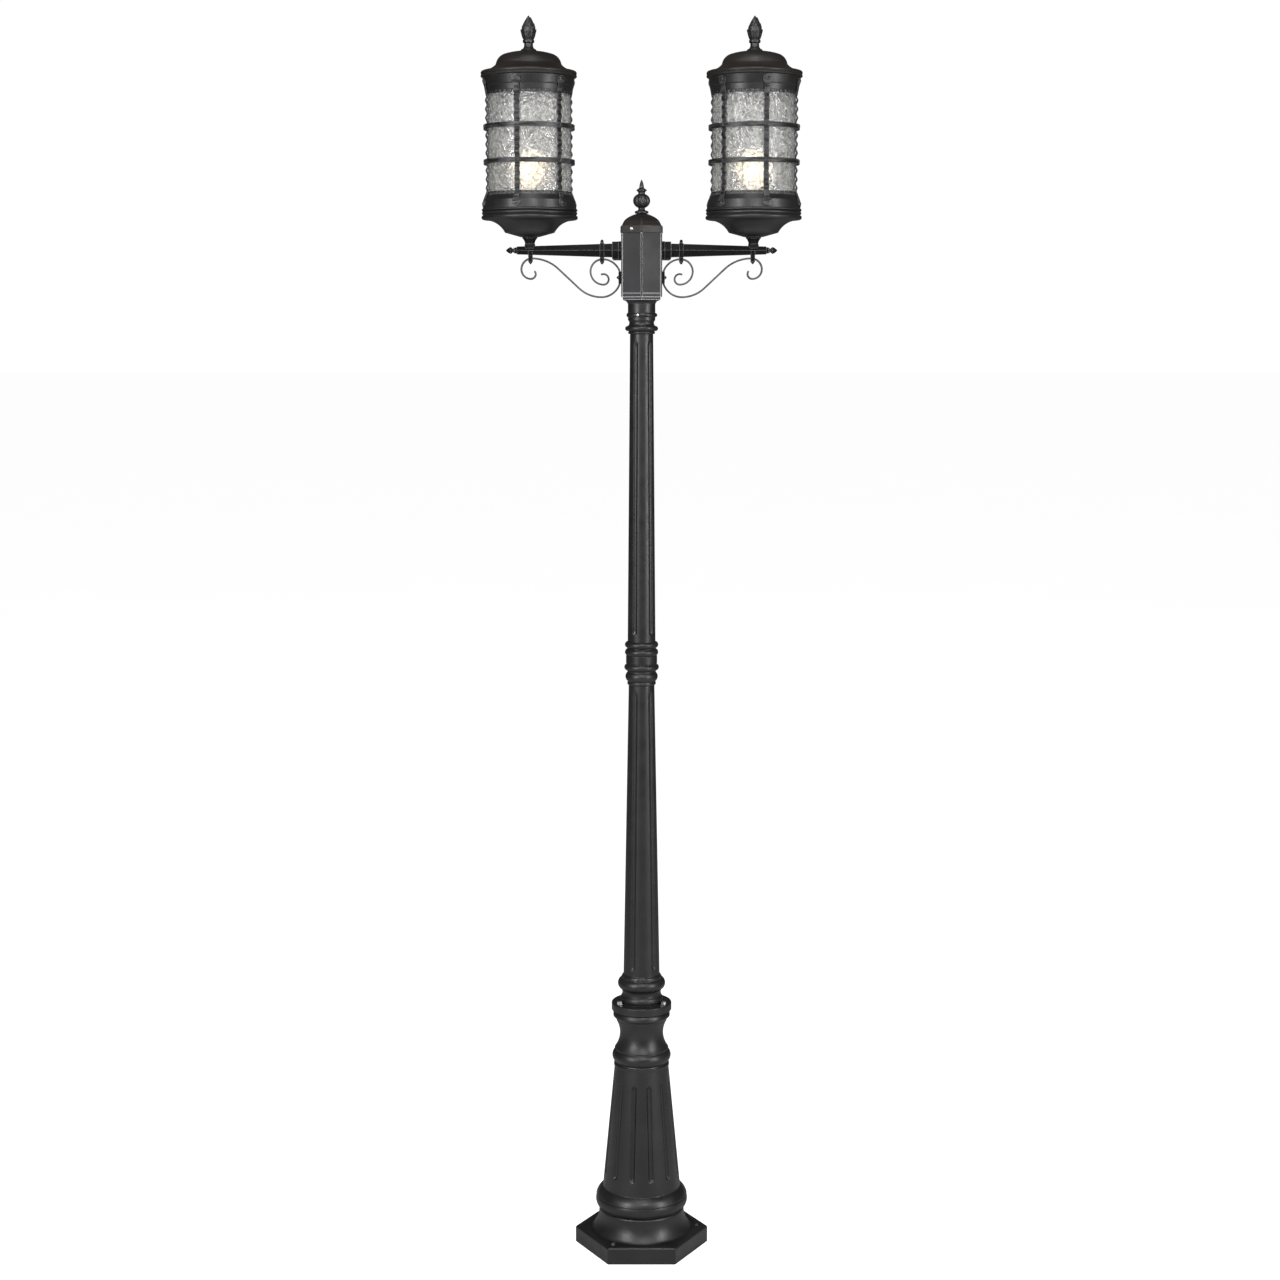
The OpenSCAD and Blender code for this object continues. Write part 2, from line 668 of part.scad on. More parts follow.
// A clip round the arm whose two cheeks carry the scroll between them.
module clamp(x, bar_z, wraps) {
    cheek = bar_w / 2 + slip;
    foot_z = bar_z - bar_t / 2 - 0.7;
    difference() {
        union() {
            intersection() {
                hex_taper(x - 20, x + 20, clamp_t);
                translate([x - clamp_w / 2, -30, arm_z - 30])
                    cube([clamp_w, 60, wraps ? 60 : 30]);
            }
            translate([x - clamp_w / 2, -cheek - clamp_t, foot_z - 3])
                cube([clamp_w, 2 * (cheek + clamp_t), arm_z - arm_half(x) - foot_z + 2]);
        }
        hex_taper(x - 30, x + 30, fit);
        translate([x - 20, -cheek, foot_z]) cube([40, 2 * cheek, arm_z - foot_z]);
    }
    translate([x, 0, foot_z - 2.9]) turned([[0, 0], [3.4, 0], [3, -1.6], [0, -4.6]]);
}

module scroll_clamps(side) {
    coil_top_z = belly_z + coil_low_r + coil_high_r;
    knob_z = arm_z + arm_half(inner_clamp_x) + clamp_t - 0.3;
    color("#1c1c1e") on_side(side) {
        clamp(inner_clamp_x, coil_top_z, true);
        translate([inner_clamp_x, 0, knob_z]) turned(concat(
            [[0, 0], [3.6, 0], [2.6, 1.4]], bow([3, 1.8], [0, 7], 1.2, 4)));
        clamp(outer_clamp_x, crest_z - 1, false);
    }
}

module scroll_foot(side) {
    coil_in_r = coil_high_r - bar_t / 2 - gap;
    nub_x = face_x + 0.15 + bar_t + 2.3;
    color("#1c1c1e") on_side(side) {
        difference() {
            translate([face_x, -7, scroll_foot_z - 11]) cube([nub_x - face_x, 14, 22]);
            difference() {
                translate([face_x - 1, -bar_w / 2 - slip, scroll_foot_z - 20])
                    cube([20, bar_w + 2 * slip, 40]);
                translate([coil_x, 0, scroll_foot_z]) rotate([90, 0, 0])
                    cylinder(r = coil_in_r, h = bar_w + 2, center = true, $fn = 120);
            }
        }
        on_wall(nub_x - 0.5, scroll_foot_z) turned([[0, 0], [4, 0], [3.2, 1.6], [2.6, 2], [0, 4.6]]);
    }
}

// ---------- lanterns ----------

module lantern_neck(side) {
    base_z = arm_z + 3.6;
    color("#1c1c1e") difference() {
        on_lantern(side) turned(concat(
            [[tube_hole_r, base_z], [9.8, base_z], [9.8, arm_z + 11]],
            bow([9, arm_z + 12], [13.2, pan_z - 3], -1, 5),
            [[14, pan_z - 2.5], [14, pan_z], [tube_hole_r, pan_z]]));
        on_side(side) hex_taper(lantern_x - 30, arm_end_x + 6, fit);
    }
}

module lantern_pan(side) {
    ledge_r = glass_r - glass_wall - 2;
    outside = concat(
        [[tube_hole_r, pan_z], [18, pan_z], [pan_floor_r, pan_z + 6]],
        bow([pan_floor_r, pan_z + 6], [rim_r - 5, pan_z + 30.5], -6, 8),
        bow([rim_r, pan_z + 31], [rim_r, pan_z + 39], 3, 6),
        bow([rim_r - 0.5, pan_z + 39.5], [rim_r - 0.5, low_band_z], 2.6, 6));
    inside = concat(
        [[lip_r + 2.5, low_band_z], [lip_r + 2.5, gasket_z], [ledge_r, gasket_z],
         [ledge_r - 4, gasket_z - 6]],
        bow([ledge_r - 7, gasket_z - 12], [pan_floor_r - 1, pan_z + 6 + pan_wall], 4, 6),
        [[18, pan_z + 1 + pan_wall], [tube_hole_r, pan_z + 1 + pan_wall]]);
    color("#2b2a2b") on_lantern(side) turned(concat(outside, inside));
}

module lower_band(side) {
    outside = concat(
        bow([band_skirt_r + 0.5, low_band_z], [band_skirt_r + 0.5, low_band_z + rope_h], 1.6, 6),
        [[band_skirt_r, low_band_z + rope_h], [band_knee_r, low_band_z + knee_h],
         [lip_r + lip_wall, view_z]]);
    inside = [
        [lip_r, view_z], [band_knee_r - lip_wall, low_band_z + knee_h - 1],
        [band_skirt_r - lip_wall - 2, low_band_z]];
    color("#2b2a2b") on_lantern(side) difference() {
        turned(concat(outside, inside));
        at_straps() at_low_screw() screw_hole();
    }
}

module threaded_tube(side) {
    floor_z = pan_z + 1 + pan_wall;
    color("goldenrod") on_lantern(side) {
        ring(tube_r, tube_r - 1, arm_z + 1.5, holder_z + holder_floor - 3 - arm_z);
        nut(nut_af, tube_hole_r, floor_z, nut_h);
        nut(nut_af, tube_hole_r, holder_z - nut_h, nut_h);
    }
}

module lamp_holder(side) {
    cup_r = lamp_cap_r + gap;
    top_z = holder_z + holder_h;
    color("white") on_lantern(side) turned([
        [tube_hole_r, holder_z], [10, holder_z], [cup_r + holder_wall - 2, holder_z + 6],
        [cup_r + holder_wall, holder_z + 14], [cup_r + holder_wall, top_z], [cup_r, top_z],
        [cup_r, holder_z + holder_floor], [tube_hole_r, holder_z + holder_floor]]);
}

module lamp(side) {
    wide_z = lamp_neck_z + bulb_r * 1.7;
    color("lightyellow") on_lantern(side) turned(concat(
        [[0, lamp_foot_z], [6, lamp_foot_z], [lamp_cap_r, lamp_foot_z + 5], [lamp_cap_r, lamp_neck_z]],
        bow([lamp_cap_r + 0.7, lamp_neck_z + 2], [bulb_r, wide_z], 3, 8),
        bow([bulb_r, wide_z], [0, wide_z + bulb_r], bulb_r * 0.2929, 10)));
}

module glass(side) {
    color("lightcyan", 0.4) on_lantern(side)
        ring(glass_r, glass_r - glass_wall, glass_z, glass_top_z - glass_z);
}

module glass_gasket(side) {
    color("dimgray") on_lantern(side)
        ring(lip_r, glass_r - glass_wall - 1, gasket_z, gasket_h);
}

// Middle line of a strap: down the upper band, in waves over the glass, down the lower band.
function strap_line() =
    let (seat = strap_t / 2 + 0.15, step = wave_pitch / 4, low = view_z + 5, high = high_band_z - 4)
    let (first = ceil((low - hoop_z[0]) / step), last = floor((high - hoop_z[0]) / step))
    concat(
        [[low_band_at(low_screw_z - spade_tip) + seat, low_screw_z - spade_tip - 0.2],
         [band_knee_r + seat, low_band_z + knee_h + 0.5], [lip_r + lip_wall + seat, view_z + 1]],
        [for (i = [first : last]) [wave_r + wave_amp * cos(90 * i), hoop_z[0] + i * step]],
        [[lip_r + lip_wall + seat, high_band_z - 1],
         [high_band_at(high_screw_z + spade_tip) + seat, high_screw_z + spade_tip + 0.2]]);

// A strap's side outline between two heights, as a closed polygon.
function strap_side(line) =
    concat([for (p = line) [p[0] - strap_t / 2, p[1]]], [for (p = back(line)) [p[0] + strap_t / 2, p[1]]]);

// Places its children where the lower screw meets the band, square to the band's slope.
module at_low_screw() {
    on_wall(low_band_at(low_screw_z), low_screw_z, low_slope) children();
}

// The same for the upper screw.
module at_high_screw() {
    on_wall(high_band_at(high_screw_z), high_screw_z, high_slope) children();
}

// Cutter for a band screw.
module screw_hole() {
    translate([0, 0, -8]) cylinder(r = band_screw_r + fit, h = 20);
}

// Pointed plate at a strap's end, cut from the strap's own side outline; up is 1 or -1.
module spade(line, z, up) {
    intersection() {
        rotate([90, 0, 0]) linear_extrude(height = spade_w, center = true) polygon(strap_side(line));
        translate([glass_r - 10, 0, z]) rotate([90, 0, 90]) linear_extrude(height = 40)
            polygon([[0, -spade_tip * up], [spade_w / 2, -3 * up], [spade_w / 2, 4 * up],
                     [strap_w / 2, spade_tail * up], [-strap_w / 2, spade_tail * up],
                     [-spade_w / 2, 4 * up], [-spade_w / 2, -3 * up]]);
    }
}

module straps(side) {
    line = strap_line();
    n = len(line);
    seat = strap_t / 2 + 0.15;
    color("#222224") on_lantern(side) at_straps() difference() {
        union() {
            rotate([90, 0, 0]) linear_extrude(height = strap_w, center = true) polygon(strap_side(
                concat([[low_band_at(low_screw_z) + seat, low_screw_z]],
                    [for (i = [1 : n - 2]) line[i]],
                    [[high_band_at(high_screw_z) + seat, high_screw_z]])));
            spade([line[0], line[1], line[2]], low_screw_z, 1);
            spade([line[n - 2], line[n - 1]], high_screw_z, -1);
        }
        at_low_screw() screw_hole();
        at_high_screw() screw_hole();
        for (z = hoop_z) on_wall(glass_r - 5, z) cylinder(r = rivet_r + fit, h = 20);
    }
}

module hoops(side) {
    color("#222224") on_lantern(side) for (z = hoop_z) difference() {
        ring(hoop_in_r + hoop_t, hoop_in_r, z - hoop_h / 2, hoop_h);
        at_straps() on_wall(hoop_in_r - 5, z) cylinder(r = rivet_r + fit, h = 12);
    }
}

module strap_rivets(side) {
    tail_r = crest_r - strap_t - 0.8;
    color("#1c1c1e") on_lantern(side) for (z = hoop_z) at_straps() {
        on_wall(tail_r, z) cylinder(r = rivet_r, h = hoop_in_r + hoop_t - tail_r + 0.3);
        on_wall(hoop_in_r + hoop_t + 0.05, z) dome_head(3.4, 2);
    }
}

module strap_screws(side) {
    color("#1c1c1e") on_lantern(side) at_straps() {
        at_low_screw() band_screw();
        at_high_screw() band_screw();
    }
}

// One screw through strap and band, from behind the band to its domed head.
module band_screw() {
    translate([0, 0, -lip_wall - 1.5]) cylinder(r = band_screw_r, h = lip_wall + strap_t + 2);
    translate([0, 0, strap_t + 0.25]) dome_head(3.4, 2.2);
}

module upper_band(side) {
    outside = [[lip_r + lip_wall, high_band_z], [high_band_r, band_top_z]];
    inside = [[high_band_r - lip_wall, band_top_z], [lip_r, high_band_z]];
    color("#2b2a2b") on_lantern(side) difference() {
        turned(concat(outside, inside));
        at_straps() at_high_screw() screw_hole();
    }
}

module lid_bridge(side) {
    reach = high_band_at(bridge_z) - lip_wall - 0.1;
    color("silver") on_lantern(side) {
        difference() {
            intersection() {
                translate([-reach - 5, -bridge_w / 2, bridge_z]) cube([2 * reach + 10, bridge_w, bridge_t]);
                translate([0, 0, bridge_z - 1]) cylinder(r = reach, h = bridge_t + 2, $fn = 120);
            }
            translate([0, 0, bridge_z - 1]) cylinder(r = stud_r + fit, h = bridge_t + 2);
        }
        translate([0, 0, bridge_z - stud_nut_h - 1])
            cylinder(r = stud_r, h = stud_top_z - bridge_z + stud_nut_h);
        nut(stud_nut_af, stud_r + fit, bridge_z - stud_nut_h - fit, stud_nut_h);
        nut(stud_nut_af, stud_r + fit, bridge_z + bridge_t + fit, stud_nut_h);
    }
}

module lid(side) {
    z = lid_z;
    r = lid_rim_r;
    top_z = lid_z + lid_h;
    bore_r = stud_r + gap;
    outside = concat(
        [[r - 1, z]], bow([r - 0.4, z + 0.3], [r - 0.4, z + 5], 0.8, 4),
        bow([r - 0.6, z + 5.5], [r - 1.2, z + lid_rim_h], 1, 4),
        bow([r - 3, z + lid_rim_h + 0.6], [r - 27, z + 23], -2.4, 6),
        [[r - 27.5, z + 24]],
        bow([r - 28, z + 25], [r - 43, z + 42], 3.2, 6),
        bow([r - 43, z + 42], [16, top_z - 2], 0.8, 4),
        [[14.5, top_z], [bore_r, top_z]]);
    inside = [
        [bore_r, top_z - 4], [r - 45, z + 42 - lid_wall - 1], [r - 31, z + 25], [r - 30, z + 21],
        [r - 5, z + lid_rim_h - 2], [r - 6, z]];
    color("#332d29") on_lantern(side) turned(concat(outside, inside));
}

module finial(side) {
    z = finial_z;
    bore_r = stud_r + fit;
    bore_top = stud_top_z + 3;
    outline = concat(
        [[bore_r, z], [14, z]],
        bow([13.6, z + 1], [8.3, z + 7.5], -1.4, 4),
        [[8, z + 12], [10.6, z + 13.5], [10.6, z + 17.5], [9, z + 19]],
        bow([9, z + 20], [11, z + 44], 4.6, 8),
        bow([11, z + 44], [0, z + 62], 1.2, 5),
        [[0, bore_top], [bore_r, bore_top]]);
    color("#2a2a2c") on_lantern(side) turned(outline);
}

base_casting();
lower_pole();
flange_bolts();
lower_collar();
upper_collar();
coupling_nipple();
upper_pole();
head_socket();
socket_screws();
head_box();
terminal_block();
arm_bolts();
head_cap();
cap_screws();
cap_finial();
arm_socket(left);  // arm_socket_left
arm_socket(right);  // arm_socket_right
arm(left);  // arm_left
arm(right);  // arm_right
arm_tip(left);  // arm_tip_left
arm_tip(right);  // arm_tip_right
scroll(left);  // scroll_left
scroll(right);  // scroll_right
scroll_clamps(left);  // scroll_clamps_left
scroll_clamps(right);  // scroll_clamps_right
scroll_foot(left);  // scroll_foot_left
scroll_foot(right);  // scroll_foot_right
lantern_neck(left);  // lantern_neck_left
lantern_neck(right);  // lantern_neck_right
lantern_pan(left);  // lantern_pan_left
lantern_pan(right);  // lantern_pan_right
lower_band(left);  // lower_band_left
lower_band(right);  // lower_band_right
threaded_tube(left);  // threaded_tube_left
threaded_tube(right);  // threaded_tube_right
lamp_holder(left);  // lamp_holder_left
lamp_holder(right);  // lamp_holder_right
lamp(left);  // lamp_left
lamp(right);  // lamp_right
glass(left);  // glass_left
glass(right);  // glass_right
glass_gasket(left);  // glass_gasket_left
glass_gasket(right);  // glass_gasket_right
straps(left);  // straps_left
straps(right);  // straps_right
hoops(left);  // hoops_left
hoops(right);  // hoops_right
strap_rivets(left);  // strap_rivets_left
strap_rivets(right);  // strap_rivets_right
strap_screws(left);  // strap_screws_left
strap_screws(right);  // strap_screws_right
upper_band(left);  // upper_band_left
upper_band(right);  // upper_band_right
lid_bridge(left);  // lid_bridge_left
lid_bridge(right);  // lid_bridge_right
lid(left);  // lid_left
lid(right);  // lid_right
finial(left);  // finial_left
finial(right);  // finial_right
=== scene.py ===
"""Garden lamp post with two round lanterns: meshes, finishes and studio over the shared CAD frame."""

import json
import logging
import math
from dataclasses import dataclass, field
from enum import Enum
from typing import Callable, Iterable, Optional, Sequence

import bmesh
import bpy
from mathutils import Matrix, Vector, noise

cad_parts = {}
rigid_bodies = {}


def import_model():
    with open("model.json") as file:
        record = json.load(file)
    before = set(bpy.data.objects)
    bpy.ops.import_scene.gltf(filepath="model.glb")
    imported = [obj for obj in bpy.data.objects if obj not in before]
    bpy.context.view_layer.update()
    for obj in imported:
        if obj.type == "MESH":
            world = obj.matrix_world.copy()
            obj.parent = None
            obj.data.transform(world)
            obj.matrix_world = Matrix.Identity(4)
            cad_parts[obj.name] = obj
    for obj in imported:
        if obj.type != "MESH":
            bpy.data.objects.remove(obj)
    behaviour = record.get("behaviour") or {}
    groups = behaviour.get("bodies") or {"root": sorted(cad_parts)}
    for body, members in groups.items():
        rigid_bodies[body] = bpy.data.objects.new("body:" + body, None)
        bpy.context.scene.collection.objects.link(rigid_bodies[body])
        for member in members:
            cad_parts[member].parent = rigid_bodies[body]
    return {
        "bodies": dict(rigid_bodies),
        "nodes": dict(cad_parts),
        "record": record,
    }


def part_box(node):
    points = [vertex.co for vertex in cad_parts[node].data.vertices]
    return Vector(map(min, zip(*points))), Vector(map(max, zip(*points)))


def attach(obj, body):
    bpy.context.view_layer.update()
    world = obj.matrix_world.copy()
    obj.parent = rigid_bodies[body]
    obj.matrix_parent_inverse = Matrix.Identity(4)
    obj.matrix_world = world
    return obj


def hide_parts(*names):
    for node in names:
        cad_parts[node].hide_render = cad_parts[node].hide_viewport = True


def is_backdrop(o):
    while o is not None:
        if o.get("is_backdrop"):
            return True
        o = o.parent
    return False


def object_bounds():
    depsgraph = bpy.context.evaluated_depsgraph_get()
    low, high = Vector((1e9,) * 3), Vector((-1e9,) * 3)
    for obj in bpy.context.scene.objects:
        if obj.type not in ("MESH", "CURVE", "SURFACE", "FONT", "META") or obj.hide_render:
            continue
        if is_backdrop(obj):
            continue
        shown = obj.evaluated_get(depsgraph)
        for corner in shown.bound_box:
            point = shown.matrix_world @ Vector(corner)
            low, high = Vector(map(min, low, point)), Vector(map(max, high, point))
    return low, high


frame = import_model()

log = logging.getLogger("lamp_post")

MM = 0.001
Point2 = tuple[float, float]
Point3 = tuple[float, float, float]
Colour = tuple[float, float, float]
Relief = Callable[[float, float, float], float]
Socket = bpy.types.NodeSocket


class Side(Enum):
    """The two sides of the post, seen from the front."""

    LEFT = "left"
    RIGHT = "right"

    @property
    def sign(self) -> int:
        """-1 on the left, 1 on the right."""
        return -1 if self is Side.LEFT else 1

    def node(self, stem: str) -> str:
        """Name of this side's CAD node."""
        return f"{stem}_{self.value}"


class Slot(str, Enum):
    """The record's material slots."""

    BLACK = "black_coat"
    BOX = "box_coat"
    BROWN = "brown_coat"
    STRAP = "strap_iron"
    SCROLL = "scroll_iron"
    ZINC = "zinc"
    TUBE = "steel_tube"
    GLASS = "clear_glass"
    RUBBER = "gasket_rubber"
    CERAMIC = "holder_ceramic"
    LAMP = "lamp_glass"
    PLASTIC = "terminal_plastic"


# ---------------------------------------------------------------- outlines


def arc(start: Point2, end: Point2, swell: float, count: int = 12) -> list[Point2]:
    """Points of a circular arc.

    Args:
        start: First point.
        end: Last point.
        swell: How far the arc rises to the right of the way from start to end.
        count: Number of pieces.

    Returns:
        count + 1 points from start to end.
    """
    dx, dy = end[0] - start[0], end[1] - start[1]
    chord = math.hypot(dx, dy)
    ux, uy = dx / chord, dy / chord
    radius = (chord * chord / 4 + swell * swell) / (2 * swell)
    half = math.asin(max(-1.0, min(1.0, chord / (2 * radius))))
    wx, wy = uy, -ux
    mx, my = (start[0] + end[0]) / 2 + wx * (swell - radius), (start[1] + end[1]) / 2 + wy * (swell - radius)
    made = []
    for i in range(count + 1):
        a = half * (2 * i / count - 1)
        made.append((mx + radius * (math.cos(a) * wx + math.sin(a) * ux),
                     my + radius * (math.cos(a) * wy + math.sin(a) * uy)))
    return made


def stretch(start: Point2, end: Point2, step: float) -> list[Point2]:
    """A straight run of points no further apart than step, both ends included."""
    count = max(1, math.ceil(math.dist(start, end) / step))
    return [(start[0] + (end[0] - start[0]) * i / count, start[1] + (end[1] - start[1]) * i / count)
            for i in range(count + 1)]


def soften(outline: Sequence[Point2], radius: float = 0.7, closed: bool = False) -> list[Point2]:
    """Rounds the sharp corners of an outline and leaves a support point each side of the round.

    Args:
        outline: The points.
        radius: How far from a corner the round starts.
        closed: Whether the last point joins the first.

    Returns:
        The rounded outline.
    """
    made: list[Point2] = []
    last = len(outline) - 1
    for i, here in enumerate(outline):
        if not closed and i in (0, last):
            made.append(here)
            continue
        before, after = outline[i - 1], outline[(i + 1) % len(outline)]
        a, b = math.dist(before, here), math.dist(here, after)
        if min(a, b) < 1e-6:
            continue
        ux, uy = (here[0] - before[0]) / a, (here[1] - before[1]) / a
        vx, vy = (after[0] - here[0]) / b, (after[1] - here[1]) / b
        turn = math.degrees(abs(math.atan2(ux * vy - uy * vx, ux * vx + uy * vy)))
        if turn < 20:
            made.append(here)
            continue
        cut = min(radius, 0.4 * a, 0.4 * b)
        start = (here[0] - ux * cut, here[1] - uy * cut)
        end = (here[0] + vx * cut, here[1] + vy * cut)
        made.append((here[0] - ux * cut * 1.2, here[1] - uy * cut * 1.2))
        for k in range(5):
            t = k / 4
            s = 1 - t
            made.append((s * s * start[0] + 2 * s * t * here[0] + t * t * end[0],
                         s * s * start[1] + 2 * s * t * here[1] + t * t * end[1]))
        made.append((here[0] + vx * cut * 1.2, here[1] + vy * cut * 1.2))
    return made


def ripple(x: float, y: float, z: float, pitch: float) -> float:
    """Smooth noise from -1 to 1 whose bumps are about pitch apart."""
    return noise.noise(Vector((x, y, z)) / pitch)


# ---------------------------------------------------------------- meshes


class Draft:
    """A mesh being drawn, in millimetres."""

    def __init__(self) -> None:
        """Starts empty."""
        self.points: list[Point3] = []
        self.faces: list[tuple[int, ...]] = []

    def grid(self, rows: Sequence[Sequence[Point3]], close: bool = False, caps: bool = False) -> "Draft":
        """Adds a surface through rows of points; each row's last point joins its first.

        Args:
            rows: Rows of equal length.
            close: Whether the last row joins the first.
            caps: Whether the first and last rows are closed by a face.

        Returns:
            This draft.
        """
        base, wide, tall = len(self.points), len(rows[0]), len(rows)
        for row in rows:
            self.points.extend(row)
        for i in range(tall if close else tall - 1):
            for j in range(wide):
                a, b = base + i * wide, base + ((i + 1) % tall) * wide
                k = (j + 1) % wide
                self.faces.append((a + j, a + k, b + k, b + j))
        if caps:
            self.faces.append(tuple(base + j for j in reversed(range(wide))))
            self.faces.append(tuple(base + (tall - 1) * wide + j for j in range(wide)))
        return self

    def lathe(self, outline: Sequence[Point2], steps: int = 96, relief: Optional[Relief] = None,
              outer: int = 0, closed: bool = False) -> "Draft":
        """Turns an outline of (radius, height) points round the Z axis.

        Args:
            outline: The points; a radius of 0 closes the piece there.
            steps: Number of columns.
            relief: What to add to the radius at an angle, radius and height.
            outer: How many of the first points the relief acts on; 0 for all.
            closed: Whether the last point joins the first.

        Returns:
            This draft.
        """
        turn = [2 * math.pi * i / steps for i in range(steps)]
        rows = []
        for i, (r, z) in enumerate(outline):
            r = max(r, 0.004)
            use = relief if relief and (not outer or i < outer) else None
            rows.append([((r + (use(a, r, z) if use else 0)) * math.cos(a),
                          (r + (use(a, r, z) if use else 0)) * math.sin(a), z) for a in turn])
        return self.grid(rows, close=closed)

    def sweep(self, path: Sequence[Point2], half_wide: Callable[[float], float],
              half_thick: Callable[[float], float], corner: float = 0.6, dent: float = 0.0) -> "Draft":
        """Sweeps a bar of rounded rectangular section along a path in the XZ plane.

        Args:
            path: Middle line as (x, z) points.
            half_wide: Half the width across Y at a share 0 to 1 of the way.
            half_thick: Half the thickness in the path's plane.
            corner: Radius of the section's corners.
            dent: Depth of the hammer marks.

        Returns:
            This draft.
        """
        last = len(path) - 1
        rows = []
        for i, (x, z) in enumerate(path):
            p, q = path[max(i - 1, 0)], path[min(i + 1, last)]
            run = math.dist(p, q)
            nx, nz = -(q[1] - p[1]) / run, (q[0] - p[0]) / run
            share = i / last
            w, t = half_wide(share), half_thick(share)
            c = min(corner, 0.45 * w, 0.45 * t)
            ring = []
            for sy, sn, first in ((1, 1, 0), (-1, 1, 1), (-1, -1, 2), (1, -1, 3)):
                for k in range(4):
                    a = math.radians(90 * first + 30 * k)
                    y = sy * (w - c) + c * math.cos(a)
                    n = sn * (t - c) + c * math.sin(a)
                    if dent:
                        n -= sn * dent * (0.5 + 0.5 * ripple(x, y + 40 * sn, z, 5.0))
                        y -= sy * dent * (0.5 + 0.5 * ripple(z, x, 17 * sy, 6.0))
                    ring.append((x + nx * n, y, z + nz * n))
            rows.append(ring)
        return self.grid(rows, caps=True)

    def rope(self, radius: float, z: float, thick: float, count: int, steps: int = 420) -> "Draft":
        """Adds a twisted bead round the Z axis.

        Args:
            radius: Of the bead's middle line.
            z: Its height.
            thick: Its thickness.
            count: Number of twists.
            steps: Number of columns.

        Returns:
            This draft.
        """
        rows = []
        for i in range(steps):
            a = 2 * math.pi * i / steps
            ring = []
            for j in range(14):
                b = 2 * math.pi * j / 14
                m = thick / 2 * (0.78 + 0.22 * abs(math.sin(count * a + b)))
                r = radius + m * math.cos(b)
                ring.append((r * math.cos(a), r * math.sin(a), z + m * math.sin(b)))
            rows.append(ring)
        return self.grid(rows, close=True)

    def add(self, other: "Draft", matrix: Optional[Matrix] = None) -> "Draft":
        """Adds another draft's surface.

        Args:
            other: The draft to add.
            matrix: Where to move it, if anywhere.

        Returns:
            This draft.
        """
        base = len(self.points)
        self.points.extend(tuple(matrix @ Vector(p)) if matrix else p for p in other.points)
        self.faces.extend(tuple(base + k for k in f) for f in other.faces)
        return self

    def make(self, name: str, move: Optional[Matrix] = None) -> bpy.types.Object:
        """Makes the object, shaded smooth.

        Args:
            name: Its name.
            move: Where to put the drawing, in millimetres.

        Returns:
            The new object, with its vertices in the shared frame.
        """
        scale = Matrix.Scale(MM, 4) @ (move or Matrix.Identity(4))
        mesh = bpy.data.meshes.new(name)
        mesh.from_pydata([tuple(scale @ Vector(p)) for p in self.points], [], self.faces)
        work = bmesh.new()
        work.from_mesh(mesh)
        bmesh.ops.remove_doubles(work, verts=work.verts, dist=0.012 * MM)
        bmesh.ops.recalc_face_normals(work, faces=work.faces)
        work.to_mesh(mesh)
        work.free()
        mesh.polygons.foreach_set("use_smooth", [True] * len(mesh.polygons))
        made = bpy.data.objects.new(name, mesh)
        bpy.context.scene.collection.objects.link(made)
        return made


# ---------------------------------------------------------------- finishes


